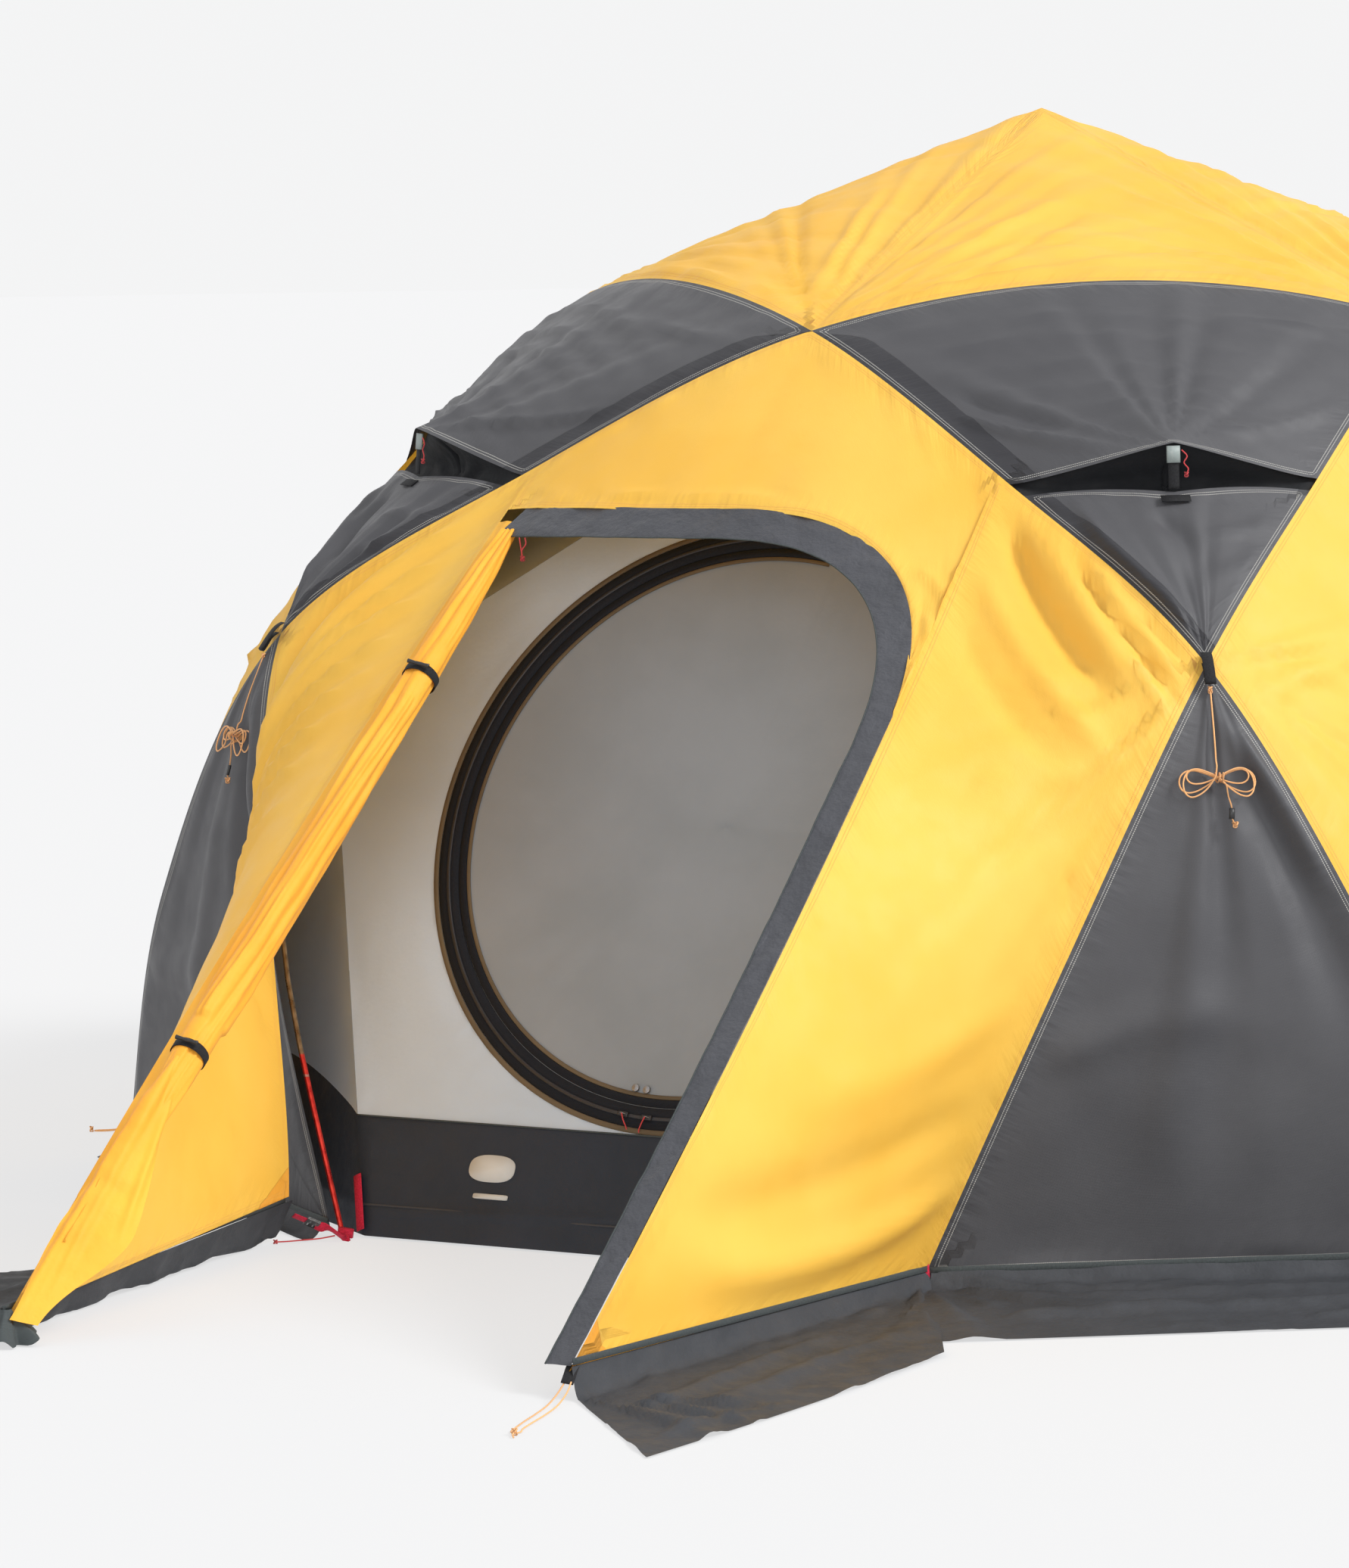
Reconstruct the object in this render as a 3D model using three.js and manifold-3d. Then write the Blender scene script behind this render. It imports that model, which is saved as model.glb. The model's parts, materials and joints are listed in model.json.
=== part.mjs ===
// Expedition dome tent on five woven poles, door towards -Y, millimetres, +Z up.
// The origin is on the ground at the centre of the floor. Angles are compass-like:
// 0 degrees is the door side (-Y) and they grow towards +X.
import * as THREE from 'three';
import Module from 'manifold-3d';
import { mergeVertices } from 'three/addons/utils/BufferGeometryUtils.js';

const { Vector3 } = THREE;
const wasm = await Module();
wasm.setup();

// ---------------------------------------------------------------- driving dimensions
const SIDES = 5;
const STEP = 360 / SIDES;
const CAP_RADIUS = 1030;        // corners of the roof pentagon
const CAP_HEIGHT = 1720;
const MID_RADIUS = 1720;        // crossings at mid height
const MID_HEIGHT = 1125;
const BASE_RADIUS = 1945;       // pole feet
const FOOT_ANGLE = 19;          // a foot stands this far to each side of a wall's middle
const PEAK_HEIGHT = 2145;
const LEG_BOW = 85;             // how far each stretch of pole bows out of its chord
const SLOPE_BOW = 40;
const CAP_BOW = 100;

const FABRIC = 2;               // thickness that stands for coated cloth
const SEAM_PULL = 3;            // each panel stops this far short of its seam line
const HEM_RISE = 0.02;          // share of a leg left bare below the fly's hem
const POLE_DIAMETER = 11;
const POLE_INSET = 24;          // pole centre below the fly
const WEAVE = 6.2;              // poles pass this far over and under at a crossing
const POLE_FOOT = 8;            // height of the pole's end

const INNER_RADIUS = 1893;      // corner distance of the inner tent
const GOLDEN_SIN = 0.5257;      // shape of half an icosidodecahedron
const GOLDEN_COS = 0.8507;
const INNER_FOOT_ANGLE = 18;
const WALL_LEAN = 26.57;        // pentagon walls lean inwards by this
const TUB_HEIGHT = 220;
const INNER_CLOTH = 2.5;

const DOOR_CENTRE_HEIGHT = 785;
const ZIP_OUTER = 620;
const ZIP_INNER = 577;
const ZIP_START = 78;           // the zip runs from here round the left to ZIP_END
const ZIP_END = 302;
const ZIP_STEPS = 32;
const HINGE_STEPS = 17;
const ZIP_GAP = 0.5;
const SLIDER_ANGLES = [262.5, 267.5];
const HINGE_SIDE_GAP = 3;

const BEAK_FOOT = { x: 575, y: -3020, z: 45 };   // front corners of the vestibule
const BEAK_SEAM = 0.49;                          // where its seams leave the upper edges
const ARCH_TOP = 1390;
const BEAK_BULGE = 25;                           // its sides bow apart half way down
const ARCH_SPRING = 950;
const ARCH_CROWN_X = 50;
const ARCH_POWER = 2.3;
const ARCH_SHARE = 0.6;                          // of the band's length parameter
const DOOR_LEFT = -495;
const DOOR_BAND = 50;
const FLY_CORNER = new Vector3(-690, -1905, 68);  // left corner, out on its strap
const CORNER_REACH = 550;

const VENT_MOUTH = 0.52;        // hood edge, as a share of the way down the triangle
const VENT_SILL = 0.555;
const SILL_DIP = 0.05;
const HOOD_RISE = 80;
const HOOD_DROP = 0.04;
const STRUT_DIAMETER = 8;

const ROLL_RADIUS = 32;
const ROLL_OFFSET = 46;
const TIE_PLACES = [0.19, 0.735];

const FLAP_WIDTH = 540;
const TUCKED_WIDTH = 60;         // of the left flap, which is tucked under the tent
const FLAP_ROOT_HEIGHT = 16;
const FLAP_TOUCH = 45;
const FLAP_MITRE = 14;
const BEAK_FLAP_OUT = 8;         // its hem lies this far outside the vestibule's
const BEAK_FLAP_CORNERS = [new Vector3(980, -2440, FABRIC), new Vector3(944, -3413, FABRIC)];

const CORD_DIAMETER = 3;
const CORD_SIDES = 8;

// ---------------------------------------------------------------- helpers
const rad = THREE.MathUtils.degToRad;
const group = new THREE.Group();

const LOOKS = {
  yellow_cloth: { color: 0xfdc24a, roughness: 0.55, metalness: 0 },
  grey_cloth: { color: 0x55545a, roughness: 0.6, metalness: 0 },
  flap_cloth: { color: 0x4a4a4f, roughness: 0.6, metalness: 0 },
  inner_cloth: { color: 0xa6a3a0, roughness: 0.8, metalness: 0 },
  mesh_cloth: { color: 0x8b8885, roughness: 0.85, metalness: 0 },
  tub_cloth: { color: 0x3b3b40, roughness: 0.5, metalness: 0 },
  zip: { color: 0x242328, roughness: 0.7, metalness: 0 },
  pole: { color: 0x8a6f4c, roughness: 0.35, metalness: 0.9 },
  red: { color: 0xc3283a, roughness: 0.7, metalness: 0 },
  black_plastic: { color: 0x18181a, roughness: 0.45, metalness: 0 },
  cord: { color: 0xf0a860, roughness: 0.8, metalness: 0 },
};

function polar(angle, radius, height) {
  return new Vector3(radius * Math.sin(rad(angle)), -radius * Math.cos(rad(angle)), height);
}

function outward(point, distance) {
  return point.clone().addScaledVector(point.clone().normalize(), distance);
}

function mix(a, b, t) {
  return a.clone().lerp(b, t);
}

function add(name, geometry, look, parent = group) {
  const mesh = new THREE.Mesh(geometry, new THREE.MeshStandardMaterial(LOOKS[look]));
  mesh.name = name;
  parent.add(mesh);
  return mesh;
}

// A list of triangles over a surface(u, v).
function grid(surface, columns, rows) {
  const soup = [];
  for (let j = 0; j < rows; j += 1) {
    for (let i = 0; i < columns; i += 1) {
      const corner = (di, dj) => surface((i + di) / columns, (j + dj) / rows);
      const [a, b, c, d] = [corner(0, 0), corner(1, 0), corner(1, 1), corner(0, 1)];
      soup.push([a, b, c], [a, c, d]);
    }
  }
  return soup;
}

// Triangles of a flat or slightly bent outline, fanned from its first point.
function fan(points) {
  return points.slice(2).map((point, i) => [points[0], points[i + 1], point]);
}

// Cloth: the triangles given, and a second skin at the thickness behind them.
function shell(soup, thickness = FABRIC) {
  const points = [];
  const index = new Map();
  const number = (p) => {
    const key = [p.x, p.y, p.z].map((value) => Math.round(value * 20)).join(' ');
    if (!index.has(key)) {
      index.set(key, points.length);
      points.push(p.clone());
    }
    return index.get(key);
  };
  const faces = soup.map((t) => t.map(number)).filter(([a, b, c]) => a !== b && b !== c && c !== a);
  const normals = points.map(() => new Vector3());
  for (const [a, b, c] of faces) {
    const across = points[b].clone().sub(points[a]);
    const normal = across.cross(points[c].clone().sub(points[a]));
    [a, b, c].forEach((i) => normals[i].add(normal));
  }
  const count = points.length;
  const back = points.map((p, i) => p.clone().addScaledVector(normals[i].normalize(), -thickness));
  const edges = new Set(faces.flatMap(([a, b, c]) => [`${a} ${b}`, `${b} ${c}`, `${c} ${a}`]));
  const triangles = faces.flatMap(([a, b, c]) => [[a, b, c], [c + count, b + count, a + count]]);
  for (const edge of edges) {
    const [a, b] = edge.split(' ').map(Number);
    if (!edges.has(`${b} ${a}`)) {
      triangles.push([b, a, a + count], [b, a + count, b + count]);
    }
  }
  const geometry = new THREE.BufferGeometry().setFromPoints([...points, ...back]);
  geometry.setIndex(triangles.flat());
  return geometry;
}

// Turns the triangles so that their normals look away from the tent's middle.
function facingOut(soup) {
  const sum = soup.reduce((total, [a, b, c]) => {
    const normal = b.clone().sub(a).cross(c.clone().sub(a));
    return total + normal.dot(a);
  }, 0);
  return sum > 0 ? soup : soup.map(([a, b, c]) => [a, c, b]);
}

// Surface stretched between four edge curves.
function stretched(top, bottom, left, right) {
  const corners = [top(0), top(1), bottom(0), bottom(1)];
  return (u, v) => {
    const point = top(u).multiplyScalar(1 - v).addScaledVector(bottom(u), v);
    point.addScaledVector(left(v), 1 - u).addScaledVector(right(v), u);
    point.addScaledVector(corners[0], -(1 - u) * (1 - v)).addScaledVector(corners[1], -u * (1 - v));
    return point.addScaledVector(corners[2], -(1 - u) * v).addScaledVector(corners[3], -u * v);
  };
}

// Edge curve drawn back from its seam towards a point inside the panel.
function drawnBack(edge, centre) {
  return (t) => {
    const point = edge(t);
    return point.addScaledVector(centre.clone().sub(point).normalize(), SEAM_PULL);
  };
}

function centreOf(...points) {
  return points.reduce((sum, p) => sum.add(p), new Vector3()).divideScalar(points.length);
}

function circle(radius, sides) {
  const shape = new THREE.Shape();
  for (let i = 0; i < sides; i += 1) {
    const angle = (2 * Math.PI * i) / sides;
    const place = [radius * Math.cos(angle), radius * Math.sin(angle)];
    if (i === 0) shape.moveTo(...place);
    else shape.lineTo(...place);
  }
  shape.closePath();
  return shape;
}

function tube(path, diameter, steps, sides = CORD_SIDES) {
  return new THREE.ExtrudeGeometry(circle(diameter / 2, sides), { extrudePath: path, steps });
}

function manifoldOf(geometry) {
  const bare = geometry.clone();
  bare.deleteAttribute('normal');
  bare.deleteAttribute('uv');
  const merged = mergeVertices(bare, 1e-3);
  return new wasm.Manifold(new wasm.Mesh({
    numProp: 3,
    vertProperties: new Float32Array(merged.attributes.position.array),
    triVerts: new Uint32Array(merged.index.array),
  }));
}

function geometryOf(solid) {
  const mesh = solid.getMesh();
  const geometry = new THREE.BufferGeometry();
  geometry.setAttribute('position', new THREE.BufferAttribute(mesh.vertProperties, 3));
  geometry.setIndex(new THREE.BufferAttribute(mesh.triVerts, 1));
  return geometry;
}

// Places a mesh with its local Y along one direction and its local Z near another.
function aim(mesh, position, along, facing) {
  const side = along.clone().cross(facing).normalize();
  const basis = new THREE.Matrix4().makeBasis(side, along.clone().normalize(),
    side.clone().cross(along).normalize());
  mesh.quaternion.setFromRotationMatrix(basis);
  mesh.position.copy(position);
}

// ---------------------------------------------------------------- nodes and ribs
const wrap = (i) => ((i % SIDES) + SIDES) % SIDES;
const capNode = (i) => polar(STEP * i, CAP_RADIUS, CAP_HEIGHT);
const midNode = (i) => polar(STEP * (i + 0.5), MID_RADIUS, MID_HEIGHT);
const footNode = (i, side) => polar(STEP * i + side * FOOT_ANGLE, BASE_RADIUS, 0);
const PEAK = new Vector3(0, 0, PEAK_HEIGHT);

// Rib k climbs from one foot over two cap corners and down to another foot.
function ribCurve(k, offsets) {
  const nodes = [footNode(k, 1), midNode(k), capNode(k + 1), capNode(k + 2), midNode(k + 2),
    footNode(k + 3, -1)].map((node, i) => outward(node, offsets[i]));
  const bows = [LEG_BOW, SLOPE_BOW, CAP_BOW, SLOPE_BOW, LEG_BOW];
  const points = bows.flatMap((bow, i) => [nodes[i], outward(mix(nodes[i], nodes[i + 1], 0.5), bow)]);
  return new THREE.CatmullRomCurve3([...points, nodes[5]], false, 'centripetal');
}

const flyRibs = Array.from({ length: SIDES }, (_, k) => ribCurve(k, [0, 0, 0, 0, 0, 0]));
const rib = (k, t) => flyRibs[wrap(k)].getPoint(t / 5);
const capEdge = (i, t) => rib(i - 1, 2 + t);        // cap corner i to cap corner i + 1
const fallEdge = (i, t) => rib(i - 2, 3 + t);       // cap corner i to crossing i
const riseEdge = (i, t) => rib(i, 2 - t);           // cap corner i + 1 to crossing i
const legEdge = (i, t) => rib(i, HEM_RISE + t * (1 - HEM_RISE));          // foot to crossing i
const farLegEdge = (i, t) => rib(i - 2, 5 - HEM_RISE - t * (1 - HEM_RISE)); // next foot to crossing i

// ---------------------------------------------------------------- poles
function buildPoles() {
  for (let k = 0; k < SIDES; k += 1) {
    const offsets = [0, WEAVE, -WEAVE, WEAVE, -WEAVE, 0].map((step) => step - POLE_INSET);
    const curve = ribCurve(k, offsets);
    const points = Array.from({ length: 61 }, (_, i) => curve.getPoint(i / 60));
    [points[0], points[60]].forEach((end) => { end.z += POLE_FOOT; });
    const path = new THREE.CatmullRomCurve3(points, false, 'centripetal');
    add(`pole_${k + 1}`, tube(path, POLE_DIAMETER, 48), 'pole');
  }
}

// Five arms from the forks of the cap crossings to a hub under the peak.
function buildPeakFrame() {
  const armDiameter = 9;
  const hubDrop = 34;
  const forkClearance = 17;
  const hub = PEAK.clone().setZ(PEAK_HEIGHT - hubDrop);
  const cap = new THREE.CylinderGeometry(24, 30, 16, 20).rotateX(Math.PI / 2);
  let solid = manifoldOf(cap.translate(hub.x, hub.y, hub.z));
  for (let i = 0; i < SIDES; i += 1) {
    const crossing = outward(capNode(i), -POLE_INSET);
    const start = crossing.clone().addScaledVector(hub.clone().sub(crossing).normalize(), forkClearance);
    const arm = new THREE.ExtrudeGeometry(circle(armDiameter / 2, 8),
      { extrudePath: new THREE.LineCurve3(start, hub), steps: 1 });
    solid = solid.add(manifoldOf(arm));
  }
  add('peak_frame', geometryOf(solid), 'pole');
}

// ---------------------------------------------------------------- fly
function buildRoofCap() {
  const soup = [];
  for (let i = 0; i < SIDES; i += 1) {
    const hem = drawnBack((t) => capEdge(i, t), PEAK);
    const left = (t) => mix(hem(0), PEAK, t);
    const right = (t) => mix(hem(1), PEAK, t);
    soup.push(...grid(stretched(hem, () => PEAK.clone(), left, right), 8, 3));
  }
  add('roof_cap', shell(facingOut(soup)), 'yellow_cloth');
}

function triangleSurface(i) {
  const centre = centreOf(capNode(i), capNode(i + 1), midNode(i));
  const top = drawnBack((t) => capEdge(i, t), centre);
  const left = drawnBack((t) => fallEdge(i, t), centre);
  const right = drawnBack((t) => riseEdge(i, t), centre);
  return stretched(top, () => left(1), left, right);
}

function triangleNormal(i) {
  const down = midNode(i).sub(capNode(i));
  const normal = capNode(i + 1).sub(capNode(i)).cross(down).normalize();
  return normal.dot(midNode(i)) > 0 ? normal : normal.negate();
}

const bump = (u) => 1 - Math.abs(2 * u - 1) ** 1.15;

function hoodSurface(i) {
  const flat = triangleSurface(i);
  const normal = triangleNormal(i);
  return (u, v) => {
    const depth = v * (VENT_MOUTH + HOOD_DROP * bump(u));
    return flat(u, depth).addScaledVector(normal, HOOD_RISE * bump(u) * v ** 3);
  };
}

function sillSurface(i) {
  const flat = triangleSurface(i);
  return (u, v) => {
    const start = VENT_SILL + SILL_DIP * bump(u);
    return flat(u, start + (1 - start) * v);
  };
}

function buildVents() {
  for (let i = 0; i < SIDES; i += 1) {
    const hood = hoodSurface(i);
    const sill = sillSurface(i);
    add(`vent_hood_${i + 1}`, shell(facingOut(grid(hood, 8, 4))), 'grey_cloth');
    add(`vent_sill_${i + 1}`, shell(facingOut(grid(sill, 6, 4))), 'grey_cloth');
    const normal = triangleNormal(i);
    const foot = sill(0.5, 0).addScaledVector(normal, 7);
    const head = hood(0.5, 1).addScaledVector(normal, -14);
    const path = new THREE.LineCurve3(foot, head);
    add(`vent_strut_${i + 1}`, tube(path, STRUT_DIAMETER, 2), 'black_plastic');
  }
}

function buildSidePanels() {
  for (let i = 1; i < SIDES; i += 1) {
    const centre = centreOf(capNode(i), midNode(i), midNode(i - 1), footNode(i, 1), footNode(i, -1));
    const top = drawnBack((t) => (t < 0.5 ? fallEdgeBack(i, t * 2) : fallEdge(i, t * 2 - 1)), centre);
    const left = drawnBack((t) => farLegEdge(i - 1, 1 - t), centre);
    const right = drawnBack((t) => legEdge(i, 1 - t), centre);
    const bottom = (t) => mix(left(1), right(1), t);
    add(`side_panel_${i}`, shell(facingOut(grid(stretched(top, bottom, left, right), 10, 8))),
      'yellow_cloth');
  }
}

// Crossing i - 1 up to cap corner i.
function fallEdgeBack(i, t) {
  return riseEdge(i - 1, 1 - t);
}

function buildCornerPanels() {
  for (let i = 0; i < SIDES; i += 1) {
    const centre = centreOf(midNode(i), footNode(i, 1), footNode(i + 1, -1));
    const left = drawnBack((t) => legEdge(i, 1 - t), centre);
    const right = drawnBack((t) => farLegEdge(i, 1 - t), centre);
    const bottom = (t) => mix(left(1), right(1), t);
    add(`corner_panel_${i + 1}`, shell(facingOut(grid(stretched(() => left(0), bottom, left, right), 6, 6))),
      'grey_cloth');
  }
}

// ---------------------------------------------------------------- vestibule
const beakFoot = (side) => new Vector3(side * BEAK_FOOT.x, BEAK_FOOT.y, BEAK_FOOT.z);
const mirrored = (point) => new Vector3(-point.x, point.y, point.z);

// The front face is ruled from its upper edge down to the line between the feet.
function beakTop(u) {
  const along = Math.abs(2 * u - 1) * BEAK_SEAM;
  const point = fallEdge(0, along);
  return u < 0.5 ? mirrored(point) : point;
}

function frontFace(u, height) {
  const top = beakTop(u);
  const bottom = mix(beakFoot(-1), beakFoot(1), u);
  const fall = (top.z - height) / (top.z - bottom.z);
  const point = mix(top, bottom, fall);
  point.x += (2 * u - 1) * BEAK_BULGE * 4 * fall * (1 - fall);
  return point;
}

// Side edge of the front face, from its upper edge down to a foot.
function beakSide(side, t) {
  const top = beakTop(1);
  return frontFace(side > 0 ? 1 : 0, top.z + (BEAK_FOOT.z - top.z) * t);
}

// The u at which the face's point at this height lies at x.
function uAt(x, height) {
  let low = 0;
  let high = 1;
  for (let i = 0; i < 30; i += 1) {
    const middle = (low + high) / 2;
    if (frontFace(middle, height).x < x) low = middle;
    else high = middle;
  }
  return (low + high) / 2;
}

const frontAt = (x, height) => frontFace(uAt(x, height), height);

// Door edge as [x, height], from the upper left corner over the arch to the right foot.
function archEdge(t, inset) {
  const sideX = (height) => frontFace(1, height).x - 2 * SEAM_PULL - inset;
  const side = sideX(ARCH_SPRING);
  const rise = ARCH_TOP - inset - ARCH_SPRING;
  const flatEnd = 0.22;
  if (t < flatEnd) {
    const s = t / flatEnd;
    return [DOOR_LEFT + (ARCH_CROWN_X - DOOR_LEFT) * s, ARCH_SPRING + rise - 12 * (1 - s) ** 2];
  }
  if (t < ARCH_SHARE) {
    const angle = ((t - flatEnd) / (ARCH_SHARE - flatEnd)) * (Math.PI / 2);
    const power = 2 / ARCH_POWER;
    return [ARCH_CROWN_X + (side - ARCH_CROWN_X) * Math.sin(angle) ** power,
      ARCH_SPRING + rise * Math.max(Math.cos(angle), 0) ** power];
  }
  const height = ARCH_SPRING + (BEAK_FOOT.z + 12 - ARCH_SPRING) * ((t - ARCH_SHARE) / (1 - ARCH_SHARE));
  return [sideX(height), height];
}

function buildVestibule() {
  const brow = (t, v) => {
    const [x, height] = archEdge(t * ARCH_SHARE, -SEAM_PULL);
    const u = uAt(x, height);
    const top = beakTop(u).z - 1.5 * SEAM_PULL;
    return frontFace(u, top + (height - top) * v);
  };
  add('front_brow', shell(facingOut(grid(brow, 18, 2))), 'yellow_cloth');

  const band = (u, v) => frontAt(...archEdge(u, v * DOOR_BAND));
  add('door_band', shell(facingOut(grid(band, 30, 1))), 'grey_cloth');

  for (const side of [1, -1]) {
    const place = (point) => (side > 0 ? point : mirrored(point));
    const legDown = (t) => {
      const point = place(legEdge(0, 1 - t));
      const pull = side < 0 ? Math.max(0, 1 - point.z / CORNER_REACH) ** 1.5 : 0;
      return point.addScaledVector(FLY_CORNER.clone().sub(mirrored(footNode(0, 1))), pull);
    };
    const middle = centreOf(place(midNode(0)), place(footNode(0, 1)), beakFoot(side),
      place(fallEdge(0, BEAK_SEAM)));
    const top = drawnBack((t) => place(fallEdge(0, BEAK_SEAM + t * (1 - BEAK_SEAM))), middle);
    const leg = drawnBack(legDown, middle);
    const front = drawnBack((t) => beakSide(side, t), middle);
    const hem = (t) => mix(front(1), leg(1), t);
    add(side > 0 ? 'front_side_right' : 'front_side_left',
      shell(facingOut(grid(stretched(top, hem, front, leg), 6, 8))), 'yellow_cloth');
  }
}

// Line that the rolled-up door follows, from the top of the opening to the left foot.
function rollLine(t) {
  const height = ARCH_TOP - DOOR_BAND - 42 + (150 - ARCH_TOP + DOOR_BAND + 42) * t;
  const edge = frontFace(0, height);
  return frontAt(edge.x + ROLL_OFFSET + SEAM_PULL, height);
}

function buildRolledDoor() {
  const path = new THREE.LineCurve3(rollLine(0), rollLine(1));
  add('rolled_door', tube(path, ROLL_RADIUS * 2, 1, 14), 'yellow_cloth');
  const along = rollLine(1).sub(rollLine(0)).normalize();
  const out = new Vector3(0.25, -0.75, 0.6).normalize();
  TIE_PLACES.forEach((place, i) => {
    const profile = [[33, -10], [35, -10], [35, 10], [33, 10], [33, -10]];
    const ring = new THREE.LatheGeometry(profile.map(([r, h]) => new THREE.Vector2(r, h)), 16);
    const centre = mix(rollLine(0), rollLine(1), place);
    aim(add(`door_tie_${i + 1}`, ring, 'black_plastic'), centre, along, out);
    const bar = new THREE.CylinderGeometry(4.5, 4.5, 44, 10);
    const facing = out.clone().addScaledVector(along, -out.dot(along)).normalize();
    const spot = centre.clone().addScaledVector(facing, 35 + 4.5 + 1);
    const across = along.clone().cross(facing).normalize();
    aim(add(`door_toggle_${i + 1}`, bar, 'black_plastic'), spot, across, facing);
  });
}

// ---------------------------------------------------------------- snow flaps
// Sheet from a hem line down to the ground and out to an outer line.
function flapSheet(hem, outer) {
  const rows = hem.map((root, i) => {
    const reach = outer[i].clone().sub(root).setZ(0);
    const touch = root.clone().addScaledVector(reach.normalize(), FLAP_TOUCH).setZ(FABRIC);
    return [root, touch, outer[i]];
  });
  const soup = [];
  for (let i = 0; i + 1 < rows.length; i += 1) {
    for (let j = 0; j < 2; j += 1) {
      const [a, b, c, d] = [rows[i][j], rows[i][j + 1], rows[i + 1][j + 1], rows[i + 1][j]];
      soup.push([a, b, c], [a, c, d]);
    }
  }
  return shell(soup);
}

const baseAngles = Array.from({ length: 10 }, (_, i) => STEP * Math.ceil(i / 2)
  + (i % 2 ? -FOOT_ANGLE : FOOT_ANGLE));

function buildSnowFlaps() {
  const runs = { snow_flap_right: [0, 3], snow_flap_back: [3, 6], snow_flap_left: [6, 9] };
  for (const [name, [first, last]] of Object.entries(runs)) {
    const corners = baseAngles.slice(first, last + 1);
    const width = name === 'snow_flap_left' ? TUCKED_WIDTH : FLAP_WIDTH;
    const outerRadius = BASE_RADIUS + width / Math.cos(rad(STEP / 4));
    const hem = corners.map((angle) => polar(angle, BASE_RADIUS + 2, FLAP_ROOT_HEIGHT));
    const outer = corners.map((angle) => polar(angle, outerRadius, FABRIC));
    const trim = (line, gap) => {
      line[0] = line[0].addScaledVector(line[1].clone().sub(line[0]).normalize(), gap);
      const end = line.length - 1;
      line[end] = line[end].addScaledVector(line[end - 1].clone().sub(line[end]).normalize(), gap);
    };
    trim(hem, FLAP_MITRE);
    trim(outer, FLAP_MITRE);
    add(name, flapSheet(hem, outer), 'flap_cloth');
  }
  for (const side of [1, -1]) {
    const root = footNode(0, side).setZ(FLAP_ROOT_HEIGHT);
    const foot = beakFoot(side).setZ(FLAP_ROOT_HEIGHT);
    const hem = [mix(root, foot, 0.03), mix(root, foot, 0.99)];
    hem.forEach((point) => { point.x += side * BEAK_FLAP_OUT; });
    const outer = BEAK_FLAP_CORNERS.map((point) => new Vector3(side * point.x, point.y, point.z));
    const lines = side > 0 ? [hem, outer] : [hem.reverse(), outer.reverse()];
    add(side > 0 ? 'snow_flap_front_right' : 'snow_flap_front_left', flapSheet(...lines), 'flap_cloth');
  }
}

// ---------------------------------------------------------------- inner tent
const innerCap = (i) => polar(STEP * i, INNER_RADIUS * GOLDEN_SIN, INNER_RADIUS * GOLDEN_COS);
const innerMid = (i) => polar(STEP * (i + 0.5), INNER_RADIUS * GOLDEN_COS, INNER_RADIUS * GOLDEN_SIN);
const innerFoot = (i, side) => polar(STEP * i + side * INNER_FOOT_ANGLE, INNER_RADIUS, 0);

function atHeight(foot, crossing, height) {
  return mix(foot, crossing, height / crossing.z);
}

function wallCorner(i, side, height) {
  return atHeight(innerFoot(i, side), innerMid(side > 0 ? i : i - 1), height);
}

function buildFloor() {
  const corners = Array.from({ length: 10 }, (_, n) => [Math.ceil(n / 2), n % 2 ? -1 : 1]);
  const soup = [];
  corners.forEach(([i, side], n) => {
    const [j, other] = corners[(n + 1) % 10];
    const [a, b] = [innerFoot(i, side), innerFoot(j, other)];
    const [c, d] = [wallCorner(j, other, TUB_HEIGHT), wallCorner(i, side, TUB_HEIGHT)];
    soup.push([new Vector3(), b, a], [a, b, c], [a, c, d]);
  });
  add('floor_tub', shell(soup, INNER_CLOTH), 'tub_cloth');
}

function buildInnerCanopy() {
  const low = TUB_HEIGHT + 1;
  const soup = [];
  const crown = new Vector3(0, 0, INNER_RADIUS * GOLDEN_COS + 90);
  for (let i = 0; i < SIDES; i += 1) {
    soup.push([crown, innerCap(i), innerCap(i + 1)]);
    soup.push([innerCap(i), innerMid(i), innerCap(i + 1)]);
    soup.push(...fan([innerMid(i), wallCorner(i, 1, low), wallCorner(i + 1, -1, low)]));
    if (i > 0) {
      soup.push(...fan([innerCap(i), innerMid(i - 1), wallCorner(i, -1, low), wallCorner(i, 1, low),
        innerMid(i)]));
    }
  }
  add('inner_canopy', shell(soup, INNER_CLOTH), 'inner_cloth');
}

// Frame of the front wall: origin at the round door's centre, X right, Y up the
// wall, Z out of the tent.
const wallFrame = new THREE.Group();
const innerApothem = INNER_RADIUS * Math.cos(rad(INNER_FOOT_ANGLE));
wallFrame.position.set(0, -innerApothem + DOOR_CENTRE_HEIGHT * Math.tan(rad(WALL_LEAN)), DOOR_CENTRE_HEIGHT);
wallFrame.rotation.x = rad(90 - WALL_LEAN);
group.add(wallFrame);
wallFrame.updateMatrixWorld(true);

function slab(shape, thickness) {
  const geometry = new THREE.ExtrudeGeometry(shape, { depth: thickness, bevelEnabled: false });
  return geometry.translate(0, 0, -thickness);
}

// Points of an arc about the door's centre, both ends included.
function arc(radius, from, to, steps) {
  return Array.from({ length: steps + 1 }, (_, i) => {
    const angle = rad(from + ((to - from) * i) / steps);
    return new THREE.Vector2(radius * Math.cos(angle), radius * Math.sin(angle));
  });
}

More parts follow.
